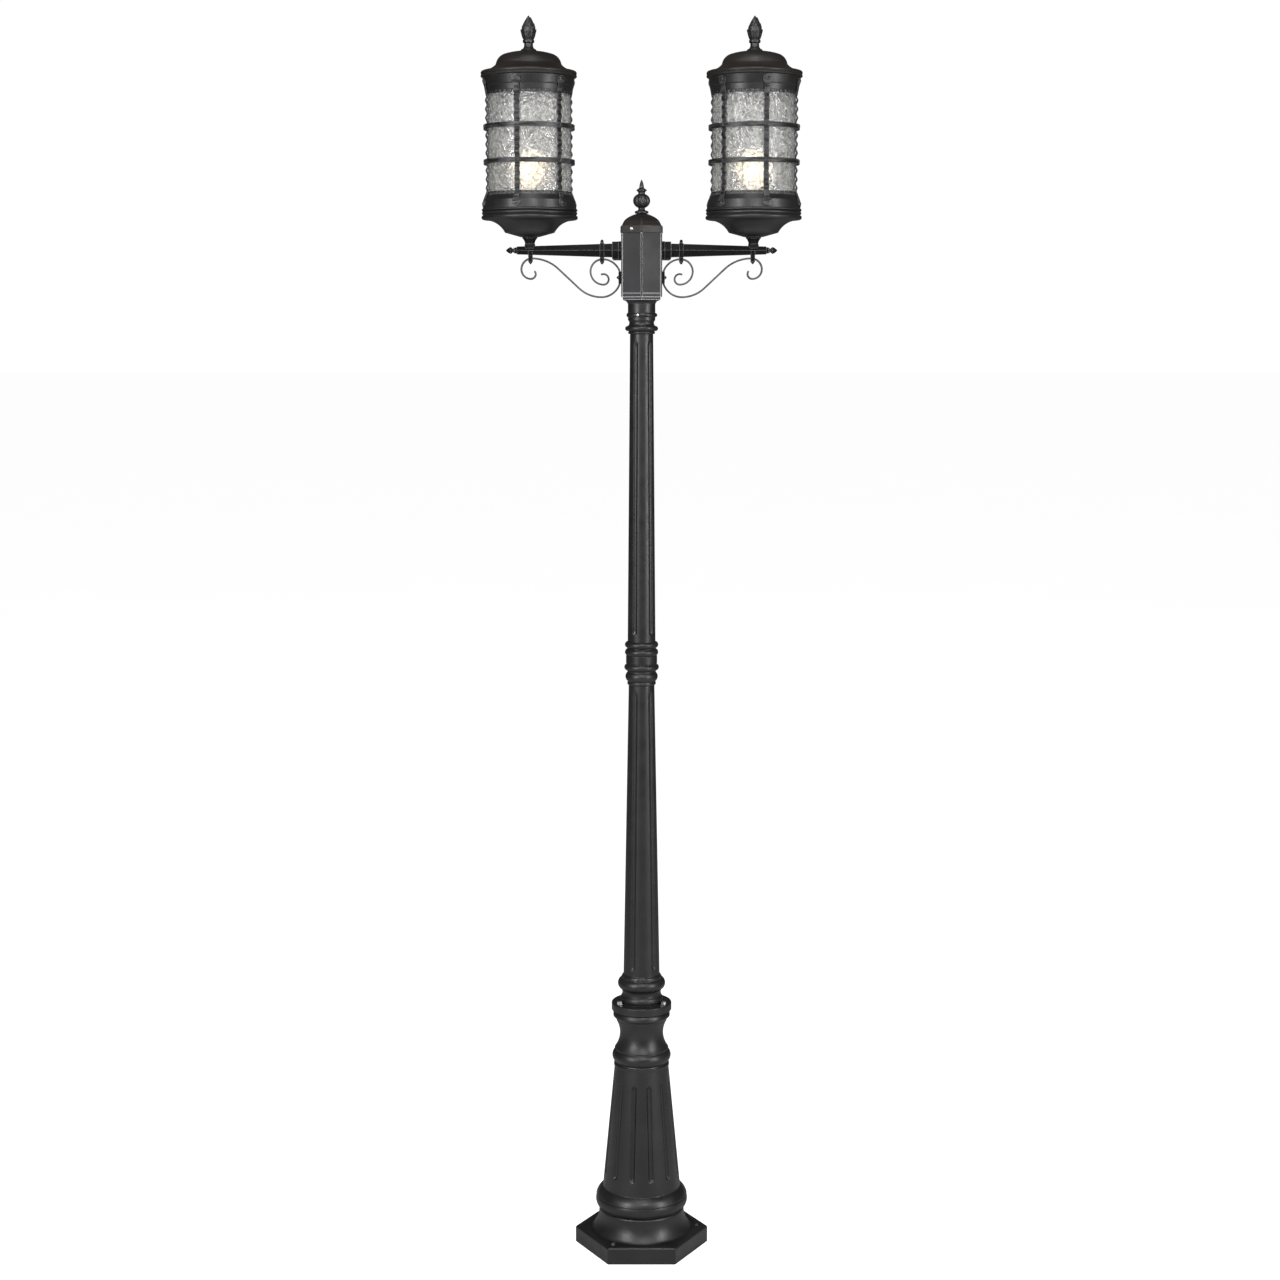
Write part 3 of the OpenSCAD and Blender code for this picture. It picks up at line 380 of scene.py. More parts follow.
class Sheet:
    """A material's node tree, with short calls for what the finishes share."""

    def __init__(self, name: str) -> None:
        """Makes an empty Principled material.

        Args:
            name: The material's name.
        """
        self.material = bpy.data.materials.new(name)
        self.material.use_nodes = True
        self.tree = self.material.node_tree
        self.shader = self.tree.nodes["Principled BSDF"]
        self.place = self.add("ShaderNodeTexCoord").outputs["Object"]

    def add(self, kind: str, **settings: object) -> bpy.types.Node:
        """Adds a node.

        Args:
            kind: Its type.
            settings: Its properties.

        Returns:
            The node.
        """
        node = self.tree.nodes.new(kind)
        for key, value in settings.items():
            setattr(node, key, value)
        return node

    def feed(self, socket: Socket, value: object) -> None:
        """Links a socket to another or sets its value.

        Args:
            socket: The input to feed.
            value: An output to link, a colour or a number.
        """
        if isinstance(value, bpy.types.NodeSocket):
            self.tree.links.new(value, socket)
        elif isinstance(value, tuple) and len(value) == 3 and socket.type == "RGBA":
            socket.default_value = (*value, 1.0)
        else:
            socket.default_value = value

    def noise(self, pitch: float, detail: float = 2.0, squash: Point3 = (1, 1, 1)) -> Socket:
        """Noise from 0 to 1.

        Args:
            pitch: Distance between its bumps, in millimetres.
            detail: Number of finer layers.
            squash: How much denser it is along each axis.

        Returns:
            The factor's socket.
        """
        where = self.add("ShaderNodeMapping")
        self.feed(where.inputs["Vector"], self.place)
        where.inputs["Scale"].default_value = squash
        node = self.add("ShaderNodeTexNoise")
        self.feed(node.inputs["Vector"], where.outputs[0])
        node.inputs["Scale"].default_value = 1 / (pitch * MM)
        node.inputs["Detail"].default_value = detail
        return node.outputs[0]

    def cells(self, pitch: float, feature: str = "SMOOTH_F1") -> Socket:
        """Distance to the nearest of scattered points.

        Args:
            pitch: About how far apart the points are, in millimetres.
            feature: Whether cells meet softly or sharply.

        Returns:
            The distance's socket.
        """
        node = self.add("ShaderNodeTexVoronoi", feature=feature)
        self.feed(node.inputs["Vector"], self.place)
        node.inputs["Scale"].default_value = 1 / (pitch * MM)
        return node.outputs["Distance"]

    def math(self, operation: str, a: object, b: object = 0.0) -> Socket:
        """Combines two values and keeps the result within 0 and 1.

        Args:
            operation: What to do with them.
            a: First value or socket.
            b: Second value or socket.

        Returns:
            The result's socket.
        """
        node = self.add("ShaderNodeMath", operation=operation, use_clamp=True)
        self.feed(node.inputs[0], a)
        self.feed(node.inputs[1], b)
        return node.outputs[0]

    def span(self, value: Socket, low: float, high: float, to_low: float = 0.0,
             to_high: float = 1.0) -> Socket:
        """Maps one range to another and holds the ends.

        Args:
            value: What to map.
            low: Value that gives to_low.
            high: Value that gives to_high.
            to_low: First end of the result.
            to_high: Second end of the result.

        Returns:
            The result's socket.
        """
        node = self.add("ShaderNodeMapRange")
        self.feed(node.inputs["Value"], value)
        for key, number in zip(("From Min", "From Max", "To Min", "To Max"), (low, high, to_low, to_high)):
            node.inputs[key].default_value = number
        return node.outputs[0]

    def mix(self, share: object, first: object, second: object) -> Socket:
        """A mix of two colours.

        Args:
            share: How much of the second, 0 to 1.
            first: Colour or socket.
            second: Colour or socket.

        Returns:
            The mix's socket.
        """
        node = self.add("ShaderNodeMix", data_type="RGBA")
        self.feed(node.inputs["Factor"], share)
        self.feed(node.inputs[6], first)
        self.feed(node.inputs[7], second)
        return node.outputs[2]

    def bump(self, height: Socket, depth: float, strength: float = 1.0,
             below: Optional[Socket] = None) -> Socket:
        """A bumped normal.

        Args:
            height: 0 to 1.
            depth: What a height of 1 stands for, in millimetres.
            strength: How much of it shows.
            below: A normal to bump further.

        Returns:
            The normal's socket.
        """
        node = self.add("ShaderNodeBump")
        node.inputs["Strength"].default_value = strength
        node.inputs["Distance"].default_value = depth * MM
        self.feed(node.inputs["Height"], height)
        if below is not None:
            self.feed(node.inputs["Normal"], below)
        return node.outputs[0]

    def edge(self, width: float) -> Socket:
        """Finds sharp edges.

        Args:
            width: How wide the edge's band is, in millimetres.

        Returns:
            A socket that is 1 on edges and 0 on flats.
        """
        soft = self.add("ShaderNodeBevel", samples=6)
        soft.inputs["Radius"].default_value = width * MM
        flat = self.add("ShaderNodeNewGeometry")
        dot = self.add("ShaderNodeVectorMath", operation="DOT_PRODUCT")
        self.feed(dot.inputs[0], soft.outputs[0])
        self.feed(dot.inputs[1], flat.outputs["Normal"])
        return self.span(dot.outputs["Value"], 0.985, 0.86)

    def finish(self, **values: object) -> bpy.types.Material:
        """Sets the shader's sockets by name, with _ for a space, and returns the material."""
        for key, value in values.items():
            self.feed(self.shader.inputs[key.replace("_", " ")], value)
        return self.material


@dataclass(frozen=True)
class Finish:
    """Something a piece can be made of."""

    name: str

    def material(self) -> bpy.types.Material:
        """Builds the finish's material."""
        raise NotImplementedError


@dataclass(frozen=True)
class PowderCoat(Finish):
    """Satin powder coat with fine grain and uneven tone; its edges are lightened, partly as wear and partly
    as a painted highlight.
    """

    dark: Colour = (0.0045, 0.0045, 0.005)
    light: Colour = (0.011, 0.011, 0.012)
    wear_and_highlight_tone: Colour = (0.16, 0.16, 0.165)
    rough: float = 0.40
    grain: float = 0.05
    edge_wear_and_highlight: float = 0.45
    edge_width: float = 1.2
    patchy: float = 0.35
    speckle: float = 0.25
    shine: float = 0.5

    def material(self) -> bpy.types.Material:
        """Grain and orange peel in the normal, blotches in tone and gloss, edges lightened as wear and
        painted highlight.
        """
        sheet = Sheet(self.name)
        blotch = sheet.span(sheet.noise(70, 4), 0.3, 0.7)
        speck = sheet.span(sheet.noise(1.4, 2), 0.35, 0.75)
        tone = sheet.mix(blotch, self.dark, self.light)
        tone = sheet.mix(sheet.math("MULTIPLY", speck, self.speckle), tone, self.light)
        # Lighter colour on sharp edges: partly wear, partly a painted highlight for the light lines that
        # edges catch.
        wear_and_highlight_patches = sheet.span(sheet.noise(9, 3), 0.3, 0.65, self.patchy, 1.0)
        edge = sheet.math("MULTIPLY", sheet.edge(self.edge_width), wear_and_highlight_patches)
        tone = sheet.mix(sheet.math("MULTIPLY", edge, self.edge_wear_and_highlight), tone, self.wear_and_highlight_tone)
        gloss = sheet.span(sheet.noise(26, 3), 0.25, 0.75, self.rough - 0.06, self.rough + 0.09)
        peel = sheet.bump(sheet.noise(7, 2), 0.05, 0.6)
        return sheet.finish(Base_Color=tone, Roughness=gloss, Specular_IOR_Level=self.shine,
                            Normal=sheet.bump(sheet.noise(1.1, 2), self.grain, 0.8, peel))


@dataclass(frozen=True)
class ForgedIron(Finish):
    """Flat bar with hammer marks under a thin dark coat."""

    dark: Colour = (0.0035, 0.0035, 0.004)
    light: Colour = (0.009, 0.009, 0.010)
    wear_and_highlight_tone: Colour = (0.20, 0.20, 0.21)
    rough: float = 0.40
    dents: float = 9.0
    depth: float = 0.5
    ribs: float = 4.5
    # Strength of the rib bands, both in the bump and as a painted sheen in the colour.
    rib_relief_and_sheen: float = 0.2

    def material(self) -> bpy.types.Material:
        """Overlapping dents with painted shade in their hollows, painted sheen bands along the ribs, and
        edges lightened by wear and painted highlight.
        """
        sheet = Sheet(self.name)
        dent = sheet.cells(self.dents)
        ribs = sheet.span(sheet.noise(self.ribs, 1, (0.15, 0.15, 1)), 0.40, 0.62)
        # Dent centres are darker: painted shade in the hammer marks' hollows.
        tone = sheet.mix(sheet.span(dent, 0.1, 0.6), self.dark, self.light)
        # Rib bands lighten the tone: a painted sheen of the ribs catching light from above.
        tone = sheet.mix(sheet.math("MULTIPLY", ribs, self.rib_relief_and_sheen), tone, self.wear_and_highlight_tone)
        # Lighter edges: partly wear, partly a painted highlight.
        edge_rub_and_highlight = sheet.math("MULTIPLY", sheet.edge(1.3), sheet.span(sheet.noise(7, 3), 0.35, 0.6, 0.3, 0.9))
        tone = sheet.mix(edge_rub_and_highlight, tone, self.wear_and_highlight_tone)
        gloss = sheet.span(sheet.noise(12, 3), 0.3, 0.7, self.rough - 0.08, self.rough + 0.1)
        base = sheet.bump(ribs, self.rib_relief_and_sheen * 3, 1.0, sheet.bump(dent, self.depth, 0.5))
        return sheet.finish(Base_Color=tone, Roughness=gloss, Specular_IOR_Level=0.35,
                            Normal=sheet.bump(sheet.noise(1.5, 3), 0.06, 0.6, base))


@dataclass(frozen=True)
class BareMetal(Finish):
    """Zinc or steel left bare, with spangle, dull patches and fine scratches."""

    dark: Colour = (0.42, 0.42, 0.42)
    light: Colour = (0.72, 0.72, 0.70)
    rough: float = 0.32
    spangle: float = 2.2

    def material(self) -> bpy.types.Material:
        """Crystal patches in tone, scratches in gloss and normal."""
        sheet = Sheet(self.name)
        tone = sheet.mix(sheet.span(sheet.cells(self.spangle, "F1"), 0.1, 0.8), self.light, self.dark)
        tone = sheet.mix(sheet.span(sheet.noise(11, 4), 0.55, 0.8, 0, 0.6), tone, self.dark)
        lines = sheet.noise(2.5, 4, (1, 1, 9))
        gloss = sheet.span(lines, 0.3, 0.7, self.rough - 0.1, self.rough + 0.12)
        return sheet.finish(Base_Color=tone, Roughness=gloss, Metallic=1.0,
                            Normal=sheet.bump(lines, 0.03, 0.6))


@dataclass(frozen=True)
class HammeredGlass(Finish):
    """Clear glass with a hammered face and seeds; lamplight passes it without casting sharp spots."""

    tint: Colour = (0.77, 0.765, 0.75)
    milk: Colour = (0.40, 0.395, 0.385)

    def material(self) -> bpy.types.Material:
        """Dents and seeds in the normal, faint milky patches in the colour, shadows let through."""
        sheet = Sheet(self.name)
        dent = sheet.cells(7.0)
        seeds = sheet.span(sheet.cells(4.5, "F1"), 0.10, 0.20, 1.0, 0.0)
        tone = sheet.mix(sheet.span(sheet.noise(6, 4), 0.42, 0.64), self.tint, self.milk)
        base = sheet.bump(dent, 2.6, 1.0)
        normal = sheet.bump(seeds, 0.25, 0.6, sheet.bump(sheet.noise(5, 3), 1.2, 1.0, base))
        rough = sheet.span(sheet.noise(14, 2), 0.3, 0.7, 0.06, 0.16)
        made = sheet.finish(Base_Color=tone, Roughness=rough, IOR=1.45, Transmission_Weight=0.90,
                            Normal=normal)
        path, clear, both = (sheet.add("ShaderNodeLightPath"), sheet.add("ShaderNodeBsdfTransparent"),
                             sheet.add("ShaderNodeMixShader"))
        sheet.feed(clear.inputs["Color"], (0.86, 0.88, 0.88))
        sheet.feed(both.inputs[0], path.outputs["Is Shadow Ray"])
        sheet.feed(both.inputs[1], sheet.shader.outputs[0])
        sheet.feed(both.inputs[2], clear.outputs[0])
        sheet.feed(sheet.tree.nodes["Material Output"].inputs["Surface"], both.outputs[0])
        return made


@dataclass(frozen=True)
class LitGlass(Finish):
    """A lamp's frosted envelope, alight and warm."""

    glow: Colour = (1.0, 0.82, 0.54)
    edge: Colour = (1.0, 0.74, 0.42)
    power: float = 1.25
    dim: float = 0.42
    middle: float = 2.0695
    spread: float = 0.026
    core: float = 0.004

    def material(self) -> bpy.types.Material:
        """Brighter in the middle of its height and warmer in patches, over a fine frost."""
        sheet = Sheet(self.name)
        parts = sheet.add("ShaderNodeSeparateXYZ")
        sheet.feed(parts.inputs[0], sheet.place)
        off = sheet.add("ShaderNodeMath", operation="SUBTRACT")
        sheet.feed(off.inputs[0], parts.outputs["Z"])
        off.inputs[1].default_value = self.middle
        far = sheet.add("ShaderNodeMath", operation="ABSOLUTE")
        sheet.feed(far.inputs[0], off.outputs[0])
        power = sheet.span(far.outputs[0], self.core, self.spread, self.power, self.dim)
        frost = sheet.noise(1.2, 2)
        patch = sheet.span(sheet.noise(18, 2), 0.3, 0.7)
        glow = sheet.mix(patch, self.glow, self.edge)
        return sheet.finish(Base_Color=sheet.mix(patch, (0.9, 0.85, 0.75), (0.8, 0.74, 0.62)),
                            Roughness=sheet.span(frost, 0.3, 0.7, 0.35, 0.55), Emission_Color=glow,
                            Emission_Strength=power, Normal=sheet.bump(frost, 0.05, 0.5))


@dataclass(frozen=True)
class Moulded(Finish):
    """Rubber, plastic or glazed clay: one colour with soft clouds, lighter edges as a painted highlight and a
    fine surface.
    """

    dark: Colour = (0.02, 0.02, 0.02)
    light: Colour = (0.04, 0.04, 0.04)
    rough: float = 0.5
    pitch: float = 1.5
    depth: float = 0.03

    def material(self) -> bpy.types.Material:
        """Clouds in tone, a painted highlight on edges, a fine bump."""
        sheet = Sheet(self.name)
        tone = sheet.mix(sheet.span(sheet.noise(14, 4), 0.3, 0.7), self.dark, self.light)
        # Lighter edges: a painted highlight.
        tone = sheet.mix(sheet.math("MULTIPLY", sheet.edge(0.6), 0.4), tone, self.light)
        gloss = sheet.span(sheet.noise(9, 3), 0.3, 0.7, self.rough - 0.08, self.rough + 0.08)
        return sheet.finish(Base_Color=tone, Roughness=gloss,
                            Normal=sheet.bump(sheet.noise(self.pitch, 2), self.depth, 0.7))


# A darker copy of the black coat for the arms: painted shade, as the arms share the black coat and are darker
# only in how light falls on them.
SHADED_ARM_COAT = PowderCoat("shaded_arm_coat", dark=(0.003, 0.003, 0.0032), light=(0.007, 0.007, 0.0075), rough=0.55,
                      wear_and_highlight_tone=(0.24, 0.24, 0.25), edge_wear_and_highlight=0.9, edge_width=1.4, patchy=0.6, shine=0.12)

FINISHES: dict[Slot, Finish] = {
    Slot.BLACK: PowderCoat("black_coat"),
    # Box coat edges lighten strongly: wear together with a painted highlight along the box's edges and
    # corners.
    Slot.BOX: PowderCoat("box_coat", dark=(0.007, 0.007, 0.0075), light=(0.026, 0.026, 0.028),
                         wear_and_highlight_tone=(0.50, 0.50, 0.51), rough=0.50, grain=0.16, edge_wear_and_highlight=1.0, edge_width=2.2,
                         patchy=1.0, speckle=0.7, shine=0.3),
    Slot.BROWN: PowderCoat("brown_coat", dark=(0.008, 0.0068, 0.0060), light=(0.017, 0.0140, 0.0125),
                           wear_and_highlight_tone=(0.15, 0.14, 0.13), rough=0.44, shine=0.35, patchy=0.6),
    Slot.STRAP: ForgedIron("strap_iron"),
    Slot.SCROLL: ForgedIron("scroll_iron", dark=(0.035, 0.035, 0.037), light=(0.085, 0.085, 0.09),
                            wear_and_highlight_tone=(0.26, 0.26, 0.27), dents=14.0, depth=0.25, rib_relief_and_sheen=0.0),
    Slot.ZINC: BareMetal("zinc"),
    Slot.TUBE: BareMetal("steel_tube", dark=(0.34, 0.33, 0.31), light=(0.55, 0.54, 0.52), rough=0.36,
                         spangle=5.0),
    Slot.GLASS: HammeredGlass("clear_glass"),
    Slot.RUBBER: Moulded("gasket_rubber", rough=0.7),
    Slot.CERAMIC: Moulded("holder_ceramic", dark=(0.74, 0.72, 0.68), light=(0.84, 0.83, 0.80), rough=0.18,
                          pitch=6.0),
    Slot.LAMP: LitGlass("lamp_glass"),
    Slot.PLASTIC: Moulded("terminal_plastic", dark=(0.62, 0.58, 0.48), light=(0.72, 0.69, 0.60), rough=0.42),
}


# ---------------------------------------------------------------- shared bench


@dataclass(frozen=True)
class Extent:
    """A CAD node's box, in millimetres."""

    low: Vector
    high: Vector

    @property
    def axis(self) -> float:
        """Middle of the box along X."""
        return (self.low.x + self.high.x) / 2

    @property
    def reach(self) -> float:
        """Half the box's depth along Y, a turned piece's largest radius."""
        return (self.high.y - self.low.y) / 2


class Bench:
    """Knows the CAD frame: where each node lies, what it rides on and what it is made of."""

    def __init__(self) -> None:
        """Reads the frame's record and builds every finish once."""
        record = frame["record"]
        self.slots = {part["node"]: Slot(part["material_slot"]) for part in record["subparts"]}
        self.materials = {slot: finish.material() for slot, finish in FINISHES.items()}
        # Darker copy of the black coat: painted shade for the arm pieces.
        self.shaded_arm_coat = SHADED_ARM_COAT.material()
        self.done: set[str] = set()

    def extent(self, node: str) -> Extent:
        """The node's box in millimetres."""
        low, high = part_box(node)
        return Extent(Vector(low) / MM, Vector(high) / MM)

    def dress(self, node: str, coat: Optional[bpy.types.Material] = None) -> None:
        """Gives a CAD node that is shown as it is its finish.

        Args:
            node: The CAD node.
            coat: A material to use in place of its slot's own.
        """
        piece = frame["nodes"][node]
        piece.data.materials.clear()
        piece.data.materials.append(coat or self.materials[self.slots[node]])
        self.done.add(node)
        log.info("CAD node %s dressed as %s", node, self.slots[node].value)

    def stand_in(self, piece: bpy.types.Object, node: str, slot: Optional[Slot] = None) -> bpy.types.Object:
        """Puts a drawn piece in the place of a CAD node.

        Args:
            piece: The new piece.
            node: The CAD node that it stands for.
            slot: Its material, if not the node's own.

        Returns:
            The piece.
        """
        chosen = slot or self.slots[node]
        piece.data.materials.append(self.materials[chosen])
        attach(piece, body_of(node))
        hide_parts(node)
        self.done.add(node)
        log.info("piece %s stands for %s", piece.name, node)
        return piece


def body_of(node: str) -> str:
    """Name of the CAD body that a node belongs to."""
    holder = frame["nodes"][node].parent
    return next(name for name, empty in frame["bodies"].items() if empty is holder)


# ---------------------------------------------------------------- post


def flute_relief(count: int, first: float, width: float, depth: float, low: float, high: float) -> Relief:
    """Round-ended flutes down a shaft.

    Args:
        count: Number of flutes.
        first: Angle of the first one, in degrees.
        width: Width of a flute.
        depth: Depth of a flute.
        low: Height of the flutes' lower ends.
        high: Height of their upper ends.

    Returns:
        The relief.
    """
    middle, half = (low + high) / 2, (high - low) / 2

    def relief(angle: float, r: float, z: float) -> float:
        """Depth of the nearest flute there, as a negative number."""
        sector = 2 * math.pi / count
        off = (angle - math.radians(first) + sector / 2) % sector - sector / 2
        across = off * r
        along = max(0.0, abs(z - middle) - half + width / 2)
        share = (across * across + along * along) / (width * width / 4)
        return -depth * (1 - share) ** 0.6 if share < 1 else 0.0

    return relief


@dataclass
class Post:
    """Base casting, both poles, the collars between them and the socket under the head."""

    bench: Bench
    cone_foot_r: float = 75.6
    cone_top_r: float = 52.4
    cone_h: float = 244.0
    cone_flutes: int = 12
    wall: float = 6.0
    lower_foot_r: float = 34.9
    lower_top_r: float = 24.4
    upper_top_r: float = 21.6
    pole_flutes: int = 5
    pole_wall: float = 3.5
    slip: float = 0.1
    columns: int = 240

    def base(self) -> None:
        """The fluted cone with its bell and mouldings, on the hexagonal plate."""
        node = "base_casting"
        box = self.bench.extent(node)
        plate_h = 34.0
        plate_r = box.high.x
        bell_top = self.cone_foot_r + 7.4
        bell_foot = bell_top + 13
        spigot_r = self.lower_foot_r + 3
        waist_r, band_r = spigot_r + 4.3, spigot_r + 16.9
        bell_z = plate_h + 42
        groove_z = bell_z + 24
        cone_z = groove_z + 19
        ring_z = cone_z + self.cone_h
        bead_z, waist_z = ring_z + 8, ring_z + 35
        band_z = waist_z + 64
        top_z = box.high.z
        foot_r, head_r = self.cone_foot_r, self.cone_top_r
        outside = soften(
            [(bell_foot + 2.5, plate_h - 0.5)]
            + arc((bell_foot, plate_h + 1), (bell_top, bell_z - 2), -4, 16)
            + arc((bell_top - 1.5, bell_z), (foot_r + 12.4, groove_z), 4.2, 20)
            + [(foot_r + 11.2, groove_z + 0.3), (foot_r + 11.2, groove_z + 1.5)]
            + arc((foot_r + 13.2, groove_z + 1.8), (foot_r + 1.4, cone_z - 1), 1.8, 16)
            + stretch((foot_r, cone_z), (head_r, ring_z), 2.2)
            + [(head_r + 1.2, ring_z), (head_r + 1.2, ring_z + 5), (head_r - 1, ring_z + 5)]
            + arc((head_r - 2, bead_z), (head_r - 1.5, waist_z - 3), 6.2, 20)
            + [(head_r - 1.5, waist_z)]
            + arc((head_r, waist_z), (waist_r + 5.8, band_z - 10), -8, 28)
            + arc((waist_r + 6.5, band_z - 9), (band_r, band_z), -1.5, 8)
            + [(band_r, top_z)], 1.2)
        inside = [(spigot_r + self.slip, top_z), (spigot_r + self.slip, top_z - 20),
                  (waist_r - self.wall, top_z - 20), (waist_r - self.wall, waist_z + 32),
                  (head_r - 2 - self.wall, waist_z), (head_r - self.wall, ring_z),
                  (foot_r - self.wall, cone_z), (foot_r, cone_z - 12), (foot_r, bell_z),
                  (bell_top - self.wall, plate_h), (bell_foot - self.wall, plate_h - 8)]
        relief = flute_relief(self.cone_flutes, -75, 10, 4.2, cone_z + 29, ring_z - 29)
        shell = Draft().lathe(outside + inside, 480, relief, outer=len(outside))
        self.bench.stand_in(shell.make("base_casting_shell"), node)
        self.bench.stand_in(self.plate(plate_r, plate_h, bell_foot - self.wall, bell_foot + 14), node)

    def plate(self, corner_r: float, height: float, bore_r: float, anchor_r: float) -> bpy.types.Object:
        """The hexagonal foot plate with its three anchor holes.

        Args:
            corner_r: From the middle to a corner.
            height: Its thickness.
            bore_r: Radius of the hollow under it.
            anchor_r: From the middle to an anchor hole.

        Returns:
            The plate.
        """
        angles = hexagon_angles(0.0)
        rows = []
        edge = soften([(bore_r, 0.05), (corner_r, 0.0), (corner_r, height - 3.2),
                       (corner_r - 3.4, height - 0.4), (corner_r - 12, height), (bore_r, height)], 2.0)
        for r, z in edge:
            reach = [hexagon_reach(r, a, 0.0, bore_r) for a in angles]
            rows.append([(far * math.cos(a), far * math.sin(a), z) for far, a in zip(reach, angles)])
        piece = Draft().grid(rows, close=True).make("base_casting_plate")
        for i in range(3):
            turn = math.radians(120 * i)
            hole = Draft().lathe([(0, -5), (5.5, -5), (5.5, height + 5), (0, height + 5)], 40)
            place = (anchor_r * math.cos(turn), anchor_r * math.sin(turn), 0)
            carve(piece, hole.make("cutter", Matrix.Translation(place)))
        return piece

    def poles(self) -> None:
        """Both fluted poles as tubes with their spigots."""
        low, collar = self.bench.extent("lower_pole"), self.bench.extent("lower_collar")
        base_top = self.bench.extent("base_casting").high.z
        spigot_r = self.lower_foot_r + 3
        rim = base_top + 15
        shaft_z, seam_low = base_top + 71, collar.low.z
        end_r = self.lower_top_r - 1.9
        nipple_r = end_r - 3 + self.slip
        outside = soften(
            [(spigot_r, low.low.z), (spigot_r, base_top), (low.reach, base_top), (low.reach, rim - 1.5),
             (low.reach - 1.5, rim)]
            + arc((spigot_r + 1.5, rim), (spigot_r, rim + 14), 2.6, 14)
            + arc((spigot_r, rim + 15), (spigot_r + 1, rim + 26), -1, 10)
            + arc((spigot_r + 2.5, rim + 27), (spigot_r + 1.5, shaft_z - 8), 6, 22)
            + [(spigot_r + 1.5, shaft_z - 6)]
            + arc((spigot_r + 0.5, shaft_z - 6), (self.lower_foot_r + 1.2, shaft_z - 1), 0.6, 6)
            + stretch((self.lower_foot_r, shaft_z), (self.lower_top_r, seam_low), 3.2)
            + [(end_r, seam_low), (end_r, low.high.z)], 0.8)
        bore_r = self.lower_foot_r - self.pole_wall
        inside = [(nipple_r, low.high.z), (nipple_r, low.high.z - 38), (bore_r, shaft_z), (bore_r, low.low.z)]
        relief = flute_relief(self.pole_flutes, -47, 9, 2.4, shaft_z + 13, seam_low - 13)
        made = Draft().lathe(outside + inside, self.columns, relief, outer=len(outside), closed=True)
        self.bench.stand_in(made.make("lower_pole_tube"), "lower_pole")

        high, up = self.bench.extent("upper_pole"), self.bench.extent("upper_collar")
        socket = self.bench.extent("head_socket")
        foot_r = self.lower_top_r + 1.9
        spigot, end = foot_r - 3.8, self.upper_top_r - 2.6
        outside = soften(
            [(spigot, high.low.z), (spigot, up.high.z)]
            + stretch((foot_r, up.high.z), (self.upper_top_r, socket.low.z), 3.2)
            + [(end, socket.low.z), (end, high.high.z)], 0.5)
        inside = [(end - self.pole_wall, high.high.z), (end - self.pole_wall, socket.low.z),
                  (nipple_r, up.high.z), (nipple_r, high.low.z)]
        relief = flute_relief(self.pole_flutes, -47, 8, 2.2, up.high.z + 16, socket.low.z - 16)
        made = Draft().lathe(outside + inside, self.columns, relief, outer=len(outside), closed=True)
        self.bench.stand_in(made.make("upper_pole_tube"), "upper_pole")

    def ring(self, outline: Sequence[Point2], name: str, node: str) -> None:
        """Turns a closed outline and puts it in a node's place.

        Args:
            outline: Points of (radius, height), all the way round the section.
            name: The new piece's name.
            node: The CAD node that it stands for.
        """
        turned = Draft().lathe(soften(outline, 0.5, True), 128, closed=True)
        self.bench.stand_in(turned.make(name), node)

    def collars(self) -> None:
        """The two collars at the joint between the poles."""
        low, up = self.bench.extent("lower_collar"), self.bench.extent("upper_collar")
        z, seam, r = low.low.z, low.high.z, self.lower_top_r
        bore = r - 1.9 + self.slip
        outline = (arc((r + 1.2, z), (r + 1.4, z + 7), 1.5, 10)
                   + arc((r + 2.8, z + 8), (r + 2.6, seam - 1.5), 3.6, 20)
                   + [(r + 2.4, seam), (bore, seam), (bore, z)])
        self.ring(outline, "lower_collar_ring", "lower_collar")
        foot_r = r + 1.9
        a, plain = foot_r + 1, foot_r + 3.2
        spigot = foot_r - 3.8 + self.slip
        nipple_r = r - 4.9 + self.slip
        outline = ([(a, seam), (a, seam + 1.5)]
                   + arc((a + 0.6, seam + 2), (plain - 1, seam + 14), 4.6, 20)
                   + [(plain, seam + 16), (plain, seam + 30)]
                   + arc((plain - 1, seam + 31), (a + 0.6, seam + 43), 3.4, 20)
                   + [(a, seam + 43.5), (a, seam + 45)]
                   + arc((a + 0.4, seam + 45.5), (a + 0.2, up.high.z), 4.1, 20)
                   + [(spigot, up.high.z), (spigot, seam + 4), (nipple_r, seam + 4), (nipple_r, seam)])
        self.ring(outline, "upper_collar_ring", "upper_collar")

    def socket(self) -> None:
        """The turned socket that joins the upper pole to the head."""
        node = "head_socket"
        box, pole = self.bench.extent(node), self.bench.extent("upper_pole")
        z, top, r = box.low.z, box.high.z, self.upper_top_r
        end = r - 2.6
        outside = (arc((r + 1.9, z), (r + 2, z + 5), 1.5, 10)
                   + arc((r + 4.4, z + 5.5), (r + 4.4, z + 15), 4.7, 20)
                   + arc((r + 3, z + 16), (r + 3, z + 25), -1.6, 12)
                   + [(r + 3.8, z + 25), (r + 3.8, z + 31)]
                   + arc((r + 4.4, z + 31), (r + 4.4, z + 39), 2.2, 14)
                   + [(r + 3.9, z + 39), (r + 3.9, z + 56)]
                   + arc((r + 4.4, z + 56), (r + 12.4, top - 1), -1.6, 12)
                   + [(r + 12.4, top)])
        inside = [(end - self.pole_wall, top), (end - self.pole_wall, pole.high.z),
                  (end + self.slip, pole.high.z), (end + self.slip, z)]
        self.ring(outside + inside, "head_socket_turned", node)

    def build(self) -> None:
        """Builds the whole post from the ground up."""
        self.base()
        self.poles()
        self.collars()
        self.socket()
        for node in ("flange_bolts", "coupling_nipple", "socket_screws"):
            self.bench.dress(node)


